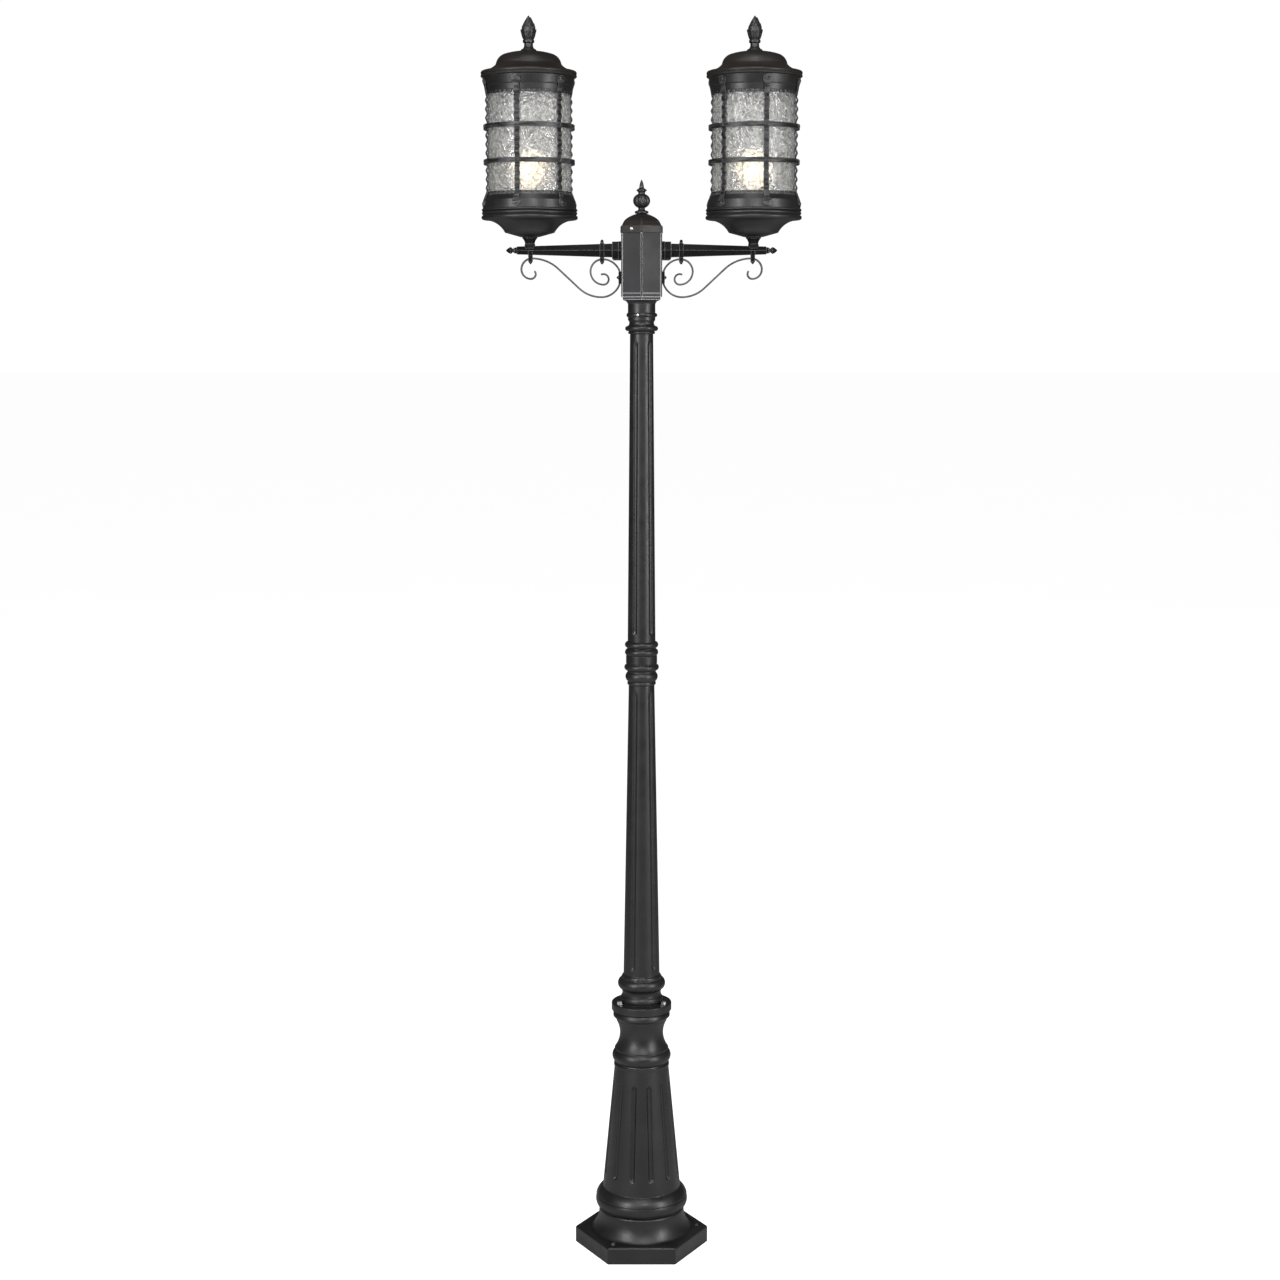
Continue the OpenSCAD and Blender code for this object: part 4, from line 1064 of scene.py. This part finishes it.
def hexagon_angles(first: float) -> list[float]:
    """Angles of a hexagon's columns, close together at its corners.

    Args:
        first: Angle of one corner, in degrees.

    Returns:
        The angles in radians.
    """
    flat = [3 + 54 * i / 6 for i in range(7)]
    offsets = [0.0, 0.25, 0.55, 1.0, *flat, 59.0, 59.45, 59.75]
    return [math.radians(first + 60 * k + a) for k in range(6) for a in offsets]


def hexagon_reach(corner_r: float, angle: float, first: float, round_r: float = 0.0) -> float:
    """From the middle to a hexagon's side, or to a circle.

    Args:
        corner_r: From the middle to a corner.
        angle: The way, in radians.
        first: Angle of one corner, in degrees.
        round_r: If corner_r isn't more than this, the shape is a circle.

    Returns:
        The distance.
    """
    if corner_r <= round_r + 0.3:
        return corner_r
    off = (math.degrees(angle) - first) % 60 - 30
    sharp = corner_r * math.cos(math.radians(30)) / math.cos(math.radians(off))
    return min(sharp, corner_r - 0.55)


def carve(piece: bpy.types.Object, cutter: bpy.types.Object) -> None:
    """Takes the cutter's solid out of the piece and removes the cutter.

    Args:
        piece: What is cut.
        cutter: What cuts it.
    """
    step = piece.modifiers.new("carve", "BOOLEAN")
    step.operation, step.object, step.solver = "DIFFERENCE", cutter, "EXACT"
    bpy.context.view_layer.update()
    cut = bpy.data.meshes.new_from_object(piece.evaluated_get(bpy.context.evaluated_depsgraph_get()))
    piece.modifiers.clear()
    piece.data = cut
    bpy.data.objects.remove(cutter)


# ---------------------------------------------------------------- head


@dataclass
class Head:
    """Hexagonal box with its domed cap and the finial on it."""

    bench: Bench
    box_af: float = 73.6
    wall: float = 2.0
    ribs: int = 10

    def cap(self) -> None:
        """Skirt and three-way vaulted dome with soft corners."""
        node = "head_cap"
        box = self.bench.extent(node)
        angles = hexagon_angles(30.0)
        to_corner = 1 / math.cos(math.radians(30))
        skirt_out = self.box_af / 2 + 0.3 + self.wall
        skirt_in = self.box_af / 2 + 0.3
        z, top = box.low.z, box.high.z
        shelf = z + 13
        half = skirt_out - 2.6
        line = [(1, 0), (0.975, 0.10), (0.945, 0.2), (0.905, 0.32), (0.86, 0.43), (0.78, 0.55), (0.68, 0.66),
                (0.54, 0.785), (0.39, 0.89), (0.28, 0.95), (0.2, 1)]
        rise = top - shelf
        outside = ([(skirt_out, z), (skirt_out, shelf - 2), (skirt_out - 0.8, shelf - 2),
                    (skirt_out - 0.8, shelf), (half, shelf)]
                   + [(half * a, shelf + rise * b) for a, b in line[1:]] + [(3.2, top)])
        inner = self.box_af / 2 - 3.5
        inside = ([(3.2, top - 2)] + [(inner * a, shelf + (rise - 2) * b) for a, b in reversed(line)]
                  + [(inner, shelf - 2.7), (skirt_in, shelf - 2.7), (skirt_in, z)])
        rows = []
        for r, height in soften(outside + inside, 0.6, True):
            reach = [hexagon_reach(r * to_corner, a, 30.0, 3.7) for a in angles]
            rows.append([(far * math.cos(a), far * math.sin(a), height) for far, a in zip(reach, angles)])
        self.bench.stand_in(Draft().grid(rows, close=True).make("head_cap_dome"), node)

    def finial(self) -> None:
        """Disc, neck, twisted ball, flared collar and spike."""
        node = "cap_finial"
        box = self.bench.extent(node)
        base, top = self.bench.extent("head_cap").high.z, box.high.z
        ball_low, ball_high = base + 10.5, base + 35
        outline = soften(
            [(0, box.low.z), (3, box.low.z), (3, base), (12.5, base)]
            + arc((12.5, base + 0.5), (11, base + 4.5), 1, 6)
            + arc((8, base + 5), (6.5, base + 10), -1, 8)
            + arc((7, ball_low), (6.5, ball_high), 9.2, 40)
            + arc((6.2, base + 36), (10, base + 41), -1.2, 10)
            + [(9, base + 43), (4.6, base + 46)]
            + arc((4.4, base + 47), (0, top), 0.8, 12), 0.5)

        def relief(angle: float, r: float, z: float) -> float:
            """Twisted ribs on the ball and notches in the collar."""
            if ball_low < z < ball_high:
                share = (z - ball_low) / (ball_high - ball_low)
                fade = math.sin(math.pi * share) ** 0.6
                return -1.9 * fade * (1 - abs(math.sin(self.ribs / 2 * angle + 1.9 * share)))
            if base + 37 < z < base + 43:
                return -1.3 * (0.5 - 0.5 * math.cos(6 * angle)) * min(1.0, (z - base - 37) / 3)
            return 0.0

        self.bench.stand_in(Draft().lathe(outline, 160, relief).make("cap_finial_turned"), node)

    def build(self) -> None:
        """Builds the cap and its finial and dresses the box."""
        self.cap()
        self.finial()
        for node in ("head_box", "terminal_block", "arm_bolts", "cap_screws"):
            self.bench.dress(node)


# ---------------------------------------------------------------- arms


@dataclass
class Arm:
    """One arm with its scroll, clamps and foot block."""

    bench: Bench
    side: Side
    face_x: float = 36.8
    bar_t: float = 3.7
    bar_w: float = 8.0
    slope: float = 43.0
    coil: tuple[float, float] = (36.0, 33.5)
    curls: tuple[float, ...] = (22.5, 24.0, 9.7, 9.7)
    tips: tuple[float, ...] = (20.0, 17.5, 9.0, 7.0)

    def walk(self, start: Point2, heading: float, steps: Iterable[Point2]) -> list[Point2]:
        """Points along tangent arcs.

        Args:
            start: First point.
            heading: First direction, in degrees.
            steps: (radius, turn in degrees) for an arc or (length, 0) for a straight.

        Returns:
            The points, under four degrees of turn apart.
        """
        made, x, z = [start], start[0], start[1]
        for size, turn in steps:
            way = math.radians(heading)
            if turn == 0:
                for share in (0.25, 0.5, 0.75, 1.0):
                    made.append((x + size * share * math.cos(way), z + size * share * math.sin(way)))
                x, z = made[-1]
                continue
            sign = math.copysign(1, turn)
            hx, hz = x - sign * size * math.sin(way), z + sign * size * math.cos(way)
            count = math.ceil(abs(turn) / 4)
            for j in range(1, count + 1):
                a = math.radians(heading + turn * j / count)
                made.append((hx + sign * size * math.sin(a), hz - sign * size * math.cos(a)))
            x, z = made[-1]
            heading += turn
        return made

    def scroll(self) -> None:
        """The flat bar: a coil at the box, a rise between two bends and a curl at the end."""
        node = self.side.node("scroll")
        box = self.bench.extent(node)
        lantern_x = abs(self.bench.extent(self.side.node("glass")).axis)
        low, high = self.coil
        belly = (self.face_x + 0.15 + self.bar_t / 2 + low, box.low.z + self.bar_t / 2)
        crest = (lantern_x - 4, box.high.z - self.bar_t / 2)
        run, rise, tilt = crest[0] - belly[0], crest[1] - belly[1], math.radians(self.slope)
        bends = (run * math.sin(tilt) - rise * math.cos(tilt)) / (1 - math.cos(tilt))
        straight = (run - bends * math.sin(tilt)) / math.cos(tilt)
        inner = self.walk(belly, 180, [(low, -90), (high, -90), (self.curls[0], -90), (self.curls[1], -90),
                                       (self.curls[2], -90), (self.curls[3], -120)])
        sweep = self.walk(belly, 0, [(0.46 * bends, self.slope), (straight, 0), (0.54 * bends, -self.slope),
                                     (self.tips[0], -90), (self.tips[1], -90), (self.tips[2], -90),
                                     (self.tips[3], -50)])
        path = list(reversed(inner)) + sweep[1:]
        half_w, half_t = self.bar_w / 2, self.bar_t / 2

        def ends(share: float) -> float:
            """Rounds both ends of the bar."""
            near = min(share, 1 - share) / 0.006
            return 0.45 + 0.55 * math.sqrt(min(1.0, near))

        draft = Draft().sweep(path, lambda s: half_w * ends(s), lambda s: half_t * ends(s), 0.9, 0.15)
        flip = Matrix.Scale(self.side.sign, 4, (1, 0, 0))
        self.bench.stand_in(draft.make(self.side.node("scroll_bar"), flip), node)

    def build(self) -> None:
        """Builds the scroll and dresses the rest of the arm."""
        self.scroll()
        # The arm pieces get the darker copy of the black coat, which is painted shade.
        for stem in ("arm_socket", "arm", "arm_tip", "scroll_clamps", "scroll_foot", "lantern_neck"):
            self.bench.dress(self.side.node(stem), self.bench.shaded_arm_coat)


# ---------------------------------------------------------------- lanterns


@dataclass
class Lantern:
    """One lantern: pan, bands, glass, straps, hoops, lid and lamp."""

    bench: Bench
    side: Side
    glass_r: float = 76.6
    glass_wall: float = 3.8
    lip_wall: float = 1.6
    gap: float = 0.3
    strap_w: float = 10.0
    strap_t: float = 2.0
    straps_n: int = 6
    hoop_half: float = 4.5
    strap_first: float = 13.5
    wave_n: int = 4
    wave_amp: float = 1.4
    band_h: float = 35.0
    rope_h: float = 5.0
    knee_h: float = 21.0
    band_columns: int = 540
    dash_n: int = 45
    dash_deep: float = 0.9
    rope_twists: int = 84
    rope_columns: int = 840
    spade: tuple[float, float, float] = (17.0, 7.0, 9.0)
    move: Matrix = field(init=False)

    def __post_init__(self) -> None:
        """Finds the lantern's axis and heights in the CAD frame."""
        glass = self.bench.extent(self.side.node("glass"))
        self.move = Matrix.Translation((glass.axis, 0, 0))
        low = self.bench.extent(self.side.node("lower_band"))
        high = self.bench.extent(self.side.node("upper_band"))
        self.band_z, self.view_z = low.low.z, low.high.z
        self.high_z, self.top_z = high.low.z, high.high.z
        self.lip_r = self.glass_r + self.gap
        self.skirt_r = self.lip_r + self.lip_wall + 8
        self.knee_r = self.skirt_r - 2.5
        self.high_r = self.lip_r + self.lip_wall + 5.8
        self.lip_out = self.lip_r + self.lip_wall

    def put(self, draft: Draft, name: str, stem: str, slot: Optional[Slot] = None) -> bpy.types.Object:
        """Makes a draft on the lantern's axis stand for one of its nodes."""
        piece = draft.make(self.side.node(name), self.move)
        return self.bench.stand_in(piece, self.side.node(stem), slot)

    def pan(self) -> None:
        """The bowl under the glass, its beaded rim included."""
        box = self.bench.extent(self.side.node("lantern_pan"))
        z, top, rim = box.low.z, box.high.z, self.glass_r + 9.4
        ledge = self.glass_r - self.glass_wall - 2
        gasket = top - 5
        outline = ([(5.05, z), (18, z), (45, z + 6)]
                   + arc((45, z + 6), (rim - 5, z + 30.5), -6, 24)
                   + arc((rim, z + 31), (rim, z + 39), 3, 14)
                   + arc((rim - 0.5, z + 39.5), (rim - 0.5, top), 2.6, 14)
                   + [(self.lip_r + 2.5, top), (self.lip_r + 2.5, gasket), (ledge, gasket),
                      (ledge - 4, gasket - 6)]
                   + arc((ledge - 7, gasket - 12), (44, z + 8.5), 4, 16)
                   + [(18, z + 3.5), (5.05, z + 3.5)])
        bowl = Draft().lathe(soften(outline, 0.6, True), 144, closed=True)
        self.put(bowl, "lantern_pan_bowl", "lantern_pan")

    def dashes(self, low: float, high: float) -> Relief:
        """Short dashes round a band's outer face.

        Args:
            low: Height that they start above.
            high: Height that they end below.

        Returns:
            What they add to the radius, for Draft.lathe.
        """

        def relief(angle: float, r: float, z: float) -> float:
            """Depth of the dash there, as a negative number."""
            if r > self.lip_r + 1 and low < z < high:
                return -self.dash_deep * max(0.0, math.cos(self.dash_n * angle)) ** 0.5
            return 0.0

        return relief

    def bands(self) -> None:
        """The lower band with its rope and notched lip, and the flared upper band."""
        z, view, knee = self.band_z, self.view_z, self.band_z + self.knee_h
        rope_r = self.skirt_r - 0.5
        outline = soften(
            [(self.skirt_r - 2, z), (rope_r, z + 0.4), (rope_r, z + self.rope_h - 0.4),
             (self.skirt_r, z + self.rope_h), (self.knee_r + 0.7, knee - 1.2),
             (self.knee_r - 0.6, knee + 0.6), (self.lip_out + 0.9, view - 6),
             (self.lip_out + 0.2, view - 5), (self.lip_out, view - 4.7), (self.lip_out, view - 4.3),
             (self.lip_out, view), (self.lip_r, view),
             (self.knee_r - self.lip_wall, knee - 1), (self.skirt_r - self.lip_wall - 2, z)], 0.4, True)
        draft = Draft().lathe(outline, self.band_columns, self.dashes(view - 4.6, math.inf), closed=True)
        draft.rope(self.skirt_r - 0.35, z + self.rope_h / 2, self.rope_h - 0.2, self.rope_twists,
                   self.rope_columns)
        self.put(draft, "lower_band_turned", "lower_band")
        low, top = self.high_z, self.top_z
        seam = low + 15
        outline = soften(
            [(self.lip_out, low), (self.lip_out, low + 4), (self.lip_out + 0.5, low + 4.6),
             (self.high_wall(seam) - 1.2, seam), (self.high_wall(seam), seam + 1.2),
             (self.high_wall(top - 2.5), top - 2.5), (self.high_r - 0.4, top - 2.2), (self.high_r, top),
             (self.high_r - self.lip_wall, top), (self.high_r - self.lip_wall - 1.0, top - 6),
             (self.lip_r, low)], 0.4, True)
        draft = Draft().lathe(outline, self.band_columns, self.dashes(-math.inf, low + 4.1), closed=True)
        self.put(draft, "upper_band_turned", "upper_band")

    def glass(self) -> None:
        """The tube of glass, dented on its inner face and rippled on its outer one."""
        box = self.bench.extent(self.side.node("glass"))
        low, high = box.low.z, box.high.z
        seed = 31.0 * self.side.sign
        inner = self.glass_r - self.glass_wall
        outline = ([(self.glass_r, z) for _, z in stretch((0, low), (0, high), 2.0)]
                   + [(inner, z) for _, z in stretch((0, high), (0, low), 2.0)])

        def relief(angle: float, r: float, z: float) -> float:
            """Dents inwards on the outer face and outwards on the inner one."""
            x, y = 76 * math.cos(angle), 76 * math.sin(angle)
            if r > inner + 1:
                return -0.4 * (0.5 + 0.5 * ripple(x + seed, y, z, 7.5))
            return 0.6 * (0.5 + 0.5 * ripple(x, y + seed, z + 200, 8.0)) - 0.2

        self.put(Draft().lathe(outline, 300, relief, closed=True), "glass_tube", "glass")

    def strap_heights(self) -> tuple[float, float]:
        """Heights of the two screws of a strap, set from the bands' heights."""
        return self.band_z + 13, self.top_z - 7.6

    def hoop_heights(self) -> tuple[float, float]:
        """Heights of the two hoops' middles."""
        box = self.bench.extent(self.side.node("hoops"))
        return box.low.z + self.hoop_half, box.high.z - self.hoop_half

    def low_wall(self, z: float) -> float:
        """Outer radius of the lower band.

        Args:
            z: Height.

        Returns:
            The radius there, in millimetres.
        """
        up = z - self.band_z
        if up < self.knee_h:
            share = (up - self.rope_h) / (self.knee_h - self.rope_h)
            return self.skirt_r - (self.skirt_r - self.knee_r) * share
        share = (up - self.knee_h) / (self.band_h - self.knee_h)
        return self.knee_r - (self.knee_r - self.lip_out) * share

    def high_wall(self, z: float) -> float:
        """Outer radius of the upper band at a height."""
        return self.lip_out + (self.high_r - self.lip_out) * (z - self.high_z) / (self.top_z - self.high_z)

    def strap(self) -> Draft:
        """One strap: pointed plates on the bands and waves over the glass."""
        low_screw, high_screw = self.strap_heights()
        wide, tip, tail = self.spade
        first, second = self.hoop_heights()
        pitch = (second - first) / self.wave_n
        mean = self.glass_r + self.gap + self.wave_amp + self.strap_t / 2 + 0.1
        seat = self.strap_t / 2 + 0.15
        start, end = low_screw - tip, high_screw + tip
        path: list[Point2] = []
        count = 210
        for i in range(count + 1):
            z = start + (end - start) * i / count
            if z <= self.view_z:
                r = self.low_wall(z) + seat
            elif z >= self.high_z:
                r = self.high_wall(z) + seat
            else:
                wave = mean + self.wave_amp * math.cos(2 * math.pi * (z - first) / pitch)
                edge = self.lip_out + seat
                near = min(z - self.view_z, self.high_z - z)
                share = min(1.0, near / 5.0)
                share = share * share * (3 - 2 * share)
                r = edge + (wave - edge) * share
            path.append((r, z))

        def half(share: float) -> float:
            """Half the strap's width along its way."""
            z = start + (end - start) * share
            off = min(z - start, end - z) - tip
            if off < -3:
                return 0.25 + (wide / 2 - 0.25) * (off + tip) / (tip - 3)
            if off < 4:
                return wide / 2
            if off < tail:
                return wide / 2 + (self.strap_w - wide) / 2 * (off - 4) / (tail - 4)
            return self.strap_w / 2 + 0.35 * math.sin(z * 0.9) * math.sin(z * 0.37)

        return Draft().sweep(path, half, lambda s: self.strap_t / 2, 0.35, 0.22)

    def straps(self) -> None:
        """All straps round the lantern."""
        one, draft = self.strap(), Draft()
        mirror = Matrix.Scale(self.side.sign, 4, (1, 0, 0))
        for i in range(self.straps_n):
            turn = math.radians(self.strap_first - 90 + 360 * i / self.straps_n)
            draft.add(one, mirror @ Matrix.Rotation(turn, 4, "Z"))
        self.put(draft, "straps_bar", "straps")

    def hoops(self) -> None:
        """The two hammered hoops."""
        box = self.bench.extent(self.side.node("hoops"))
        outer = box.reach
        inner = outer - 2.3
        draft = Draft()
        for z in self.hoop_heights():
            low, high = z - self.hoop_half, z + self.hoop_half
            outline = soften([(outer, low), (outer, z - 1.5), (outer, z + 1.5), (outer, high), (inner, high),
                              (inner, low)], 0.5, True)

            def relief(angle: float, r: float, height: float) -> float:
                """Hammer marks on the outer face."""
                if r < outer - 1:
                    return 0.0
                x, y = outer * math.cos(angle), outer * math.sin(angle)
                return -0.55 * (0.5 + 0.5 * ripple(x, y, height * 0.8, 6.5))

            draft.lathe(outline, 360, relief, closed=True)
        self.put(draft, "hoops_ring", "hoops")

    def lid(self) -> None:
        """The spun lid with its rope rim and stepped shoulders."""
        box = self.bench.extent(self.side.node("lid"))
        z, top, r = box.low.z, box.high.z, self.high_r + 3.7
        bore = 3.3
        outline = soften(
            [(r - 3, z + 0.2), (r - 1.8, z + 0.6), (r - 1.8, z + 5.2)]
            + arc((r - 0.6, z + 5.5), (r - 1.2, z + 11), 1, 12)
            + arc((r - 3, z + 11.6), (r - 27, z + 23), -2.4, 24)
            + [(r - 27.5, z + 24)]
            + arc((r - 28, z + 25), (r - 43, z + 42), 3.2, 24)
            + arc((r - 43, z + 42), (16, top - 2), 0.8, 12)
            + [(14.5, top), (bore, top), (bore, top - 4), (r - 45, z + 39), (r - 31, z + 25),
               (r - 30, z + 21), (r - 5, z + 9), (r - 6, z)], 0.6, True)
        draft = Draft().lathe(outline, 144, closed=True)
        draft.rope(r - 1.9, z + 2.6, 4.4, self.rope_twists, self.rope_columns)
        self.put(draft, "lid_spun", "lid")

    def lamp(self) -> None:
        """A lit lamp: threaded metal cap and frosted envelope."""
        box = self.bench.extent(self.side.node("lamp"))
        z, bulb = box.low.z, box.reach
        neck = z + 40.2
        wide = neck + bulb * 1.7

        def thread(angle: float, r: float, height: float) -> float:
            """A screw thread up the cap."""
            if not z + 7 < height < neck - 8:
                return 0.0
            return -0.45 * (0.5 + 0.5 * math.sin(height * 2 * math.pi / 3.6 - angle))

        cap = soften([(0, z), (6, z), (13.3, z + 5)] + stretch((13.3, z + 6), (13.3, neck - 6), 0.9)
                     + [(13.3, neck + 1), (0, neck + 1)], 0.6)
        self.put(Draft().lathe(cap, 72, thread), "lamp_cap", "lamp", Slot.ZINC)
        envelope = (arc((13.2, neck + 0.4), (bulb, wide), 3, 24)
                    + arc((bulb, wide), (0, wide + bulb), bulb * 0.2929, 24))
        self.put(Draft().lathe([(0, neck + 0.4)] + envelope, 72), "lamp_bulb", "lamp")

    def finial(self) -> None:
        """The leafy bud on the lid."""
        box = self.bench.extent(self.side.node("finial"))
        Bud(box.low.z, box.high.z, box.reach).put(self)

    def build(self) -> None:
        """Builds the lantern from its pan up."""
        self.pan()
        self.bands()
        self.glass()
        self.straps()
        self.hoops()
        self.lid()
        self.lamp()
        self.finial()
        for stem in ("threaded_tube", "lamp_holder", "glass_gasket", "strap_rivets",
                     "strap_screws", "lid_bridge"):
            self.bench.dress(self.side.node(stem))


@dataclass
class Bud:
    """A pointed bud of overlapping leaves on a turned stem."""

    foot_z: float
    top_z: float
    reach: float
    # Each tier's foot above the bud's foot, its leaves' length, how far their tips curl, and their number
    tiers: tuple[tuple[float, float, float, int], ...] = (
        (19.5, 17.0, 1.0, 6), (26.0, 16.0, 0.7, 6), (33.0, 14.5, 0.45, 5), (40.0, 13.0, 0.25, 4),
        (46.5, 12.0, 0.1, 3))
    # Share of the core's height and share of the bud's reach there
    core: tuple[Point2, ...] = (
        (0.0, 0.60), (0.14, 0.74), (0.32, 0.82), (0.52, 0.74), (0.72, 0.50), (0.88, 0.25), (1.0, 0.02))

    def core_r(self, up: float) -> float:
        """Radius of the bud's core.

        Args:
            up: Height above the bud's foot.

        Returns:
            The radius there, in millimetres.
        """
        share = max(0.0, min(1.0, (up - 19) / (self.top_z - self.foot_z - 19.3)))
        for (x0, y0), (x1, y1) in zip(self.core, self.core[1:]):
            if share <= x1:
                t = (share - x0) / (x1 - x0)
                return self.reach * (y0 + (y1 - y0) * t)
        return self.reach * self.core[-1][1]

    def leaf(self, start: float, length: float, curl: float, turn: float) -> Draft:
        """One leaf.

        Args:
            start: Its foot above the bud's foot.
            length: Its height.
            curl: How far its tip turns out.
            turn: Its angle.

        Returns:
            The leaf as a thin closed shell.
        """
        rows = []
        count, foot = 14, self.foot_z
        for i in range(count + 1):
            v = i / count
            up = start + length * v
            wide = 0.62 * math.sin(math.pi * min(1.0, v * 0.86 + 0.14)) ** 0.8 + 0.01
            out = 0.9 + 0.5 * v + 1.5 * curl * v ** 3
            base = self.core_r(up)
            ring = []
            for k in range(9):
                u = k / 4 - 1
                r = base + out * (1 - 0.28 * u * u) + 0.5 * max(0.0, 1 - abs(u) * 4)
                a = turn + u * wide * (1.15 if v < 0.7 else 1.0)
                ring.append((r * math.cos(a), r * math.sin(a), foot + up + 0.6 * curl * v * (1 - u * u)))
            for k in range(8, -1, -1):
                u = k / 4 - 1
                r = base + out * (1 - 0.28 * u * u) - 1.1
                a = turn + u * wide * 0.98
                ring.append((r * math.cos(a), r * math.sin(a), foot + up - 0.2))
            rows.append(ring)
        return Draft().grid(rows, caps=True)

    def put(self, lantern: Lantern) -> None:
        """Turns the stem, lays the leaves on it and puts the bud on the lantern.

        Args:
            lantern: The lantern that carries it.
        """
        z = self.foot_z
        outline = soften(
            [(3.05, z), (14, z)] + arc((13.6, z + 1), (8.3, z + 7.5), -1.4, 10)
            + [(8, z + 12), (10.6, z + 13.5), (10.6, z + 17.5), (9, z + 19)]
            + [(self.core_r(up) + 0.1, z + up) for up in
               (20 + i * (self.top_z - z - 20.4) / 24 for i in range(25))]
            + [(0, self.top_z), (0, z + 20), (3.05, z + 20)], 0.5)
        draft = Draft().lathe(outline, 72)
        for tier, (start, length, curl, count) in enumerate(self.tiers):
            for i in range(count):
                draft.add(self.leaf(start, length, curl, 2 * math.pi * (i + 0.5 * tier) / count))
        lantern.put(draft, "finial_bud", "finial")


# ---------------------------------------------------------------- studio


@dataclass(frozen=True)
class Panel:
    """A soft light panel: its place and what it faces in metres, its size and its watts."""

    name: str
    place: Point3
    aim: Point3
    size: Point2
    power: float

    def hang(self) -> None:
        """Adds the panel to the scene."""
        data = bpy.data.lights.new(self.name, "AREA")
        data.shape, data.size, data.size_y, data.energy = "RECTANGLE", self.size[0], self.size[1], self.power
        lamp = bpy.data.objects.new(self.name, data)
        lamp.location = self.place
        lamp.rotation_euler = (Vector(self.aim) - Vector(self.place)).to_track_quat("-Z", "Y").to_euler()
        bpy.context.scene.collection.objects.link(lamp)


@dataclass
class Studio:
    """Pale floor, soft lights and the camera, in metres."""

    high: float
    floor_tones: tuple[Colour, Colour] = ((0.60, 0.60, 0.60), (0.66, 0.66, 0.66))
    floor_lift: float = 0.93
    floor_box: tuple[float, float, float] = (60.0, -20.0, 90.0)
    backdrop: float = 1.02
    dome: float = 0.08
    dome_tone: tuple[float, float, float, float] = (0.97, 0.98, 1.0, 1)
    lens: float = 62.6
    camera_at: Point3 = (-0.003, -4.185, 1.782)
    camera_tilt: float = 82.05

    def floor(self) -> None:
        """A wide pale floor, not part of the object."""
        mesh = bpy.data.meshes.new("studio_floor")
        wide, near, deep = self.floor_box
        corners = [(-wide, near, 0), (wide, near, 0), (wide, deep, 0), (-wide, deep, 0)]
        mesh.from_pydata(corners, [], [(0, 1, 2, 3)])
        floor = bpy.data.objects.new("studio_floor", mesh)
        sheet = Sheet("studio_floor")
        tone = sheet.mix(sheet.span(sheet.noise(900, 3), 0.3, 0.7), *self.floor_tones)
        seen = sheet.add("ShaderNodeLightPath").outputs["Is Camera Ray"]
        lift = sheet.add("ShaderNodeMath", operation="MULTIPLY")
        sheet.feed(lift.inputs[0], seen)
        lift.inputs[1].default_value = self.floor_lift
        mesh.materials.append(sheet.finish(Base_Color=tone, Roughness=0.9, Emission_Color=(1.0, 1.0, 1.0),
                                           Emission_Strength=lift.outputs[0]))
        bpy.context.scene.collection.objects.link(floor)
        floor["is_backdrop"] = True

    def world(self) -> None:
        """White behind the object and a dimmer dome for its reflections."""
        scene = bpy.context.scene
        world = bpy.data.worlds.new("studio")
        scene.world = world
        world.use_nodes = True
        tree = world.node_tree
        tree.nodes.clear()
        path, out, mix = (tree.nodes.new(kind) for kind in
                          ("ShaderNodeLightPath", "ShaderNodeOutputWorld", "ShaderNodeMixShader"))
        white, dim = tree.nodes.new("ShaderNodeBackground"), tree.nodes.new("ShaderNodeBackground")
        white.inputs[0].default_value, white.inputs[1].default_value = (1, 1, 1, 1), self.backdrop
        dim.inputs[0].default_value, dim.inputs[1].default_value = self.dome_tone, self.dome
        seen = tree.nodes.new("ShaderNodeMath")
        seen.operation = "MAXIMUM"
        tree.links.new(path.outputs["Is Camera Ray"], seen.inputs[0])
        tree.links.new(path.outputs["Is Transmission Ray"], seen.inputs[1])
        tree.links.new(seen.outputs[0], mix.inputs[0])
        tree.links.new(dim.outputs[0], mix.inputs[1])
        tree.links.new(white.outputs[0], mix.inputs[2])
        tree.links.new(mix.outputs[0], out.inputs[0])
        scene.view_settings.view_transform = "Standard"

    def camera(self) -> None:
        """A camera at head height that looks slightly down at the whole post."""
        data = bpy.data.cameras.new("camera")
        data.lens, data.sensor_width = self.lens, 36
        camera = bpy.data.objects.new("camera", data)
        camera.location = self.camera_at
        camera.rotation_euler = (math.radians(self.camera_tilt), 0, 0)
        bpy.context.scene.collection.objects.link(camera)
        bpy.context.scene.camera = camera

    def build(self) -> None:
        """Sets the whole studio up."""
        middle = (0.0, 0.0, self.high / 2)
        self.floor()
        self.world()
        Panel("key_left", (-2.4, -2.9, 2.4), middle, (0.6, 2.6), 122).hang()
        Panel("key_right", (2.9, -2.2, 2.0), middle, (0.6, 2.6), 96).hang()
        Panel("front_top", (0.4, -3.2, 3.3), (0, 0, 0.5), (1.4, 0.8), 52).hang()
        Panel("top", (0.0, -1.6, 4.4), (0, 0, 2.0), (1.6, 0.7), 30).hang()
        self.camera()


def main() -> None:
    """Builds every piece, then the studio."""
    logging.basicConfig(level=logging.INFO, format="%(name)s: %(message)s")
    cad_low, cad_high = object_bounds()
    bench = Bench()
    Post(bench).build()
    Head(bench).build()
    for side in Side:
        Arm(bench, side).build()
        Lantern(bench, side).build()
    missing = sorted(set(frame["nodes"]) - bench.done)
    log.info("nodes left undressed: %s", missing)
    Studio(cad_high.z).build()


if __name__ == "__main__":
    main()
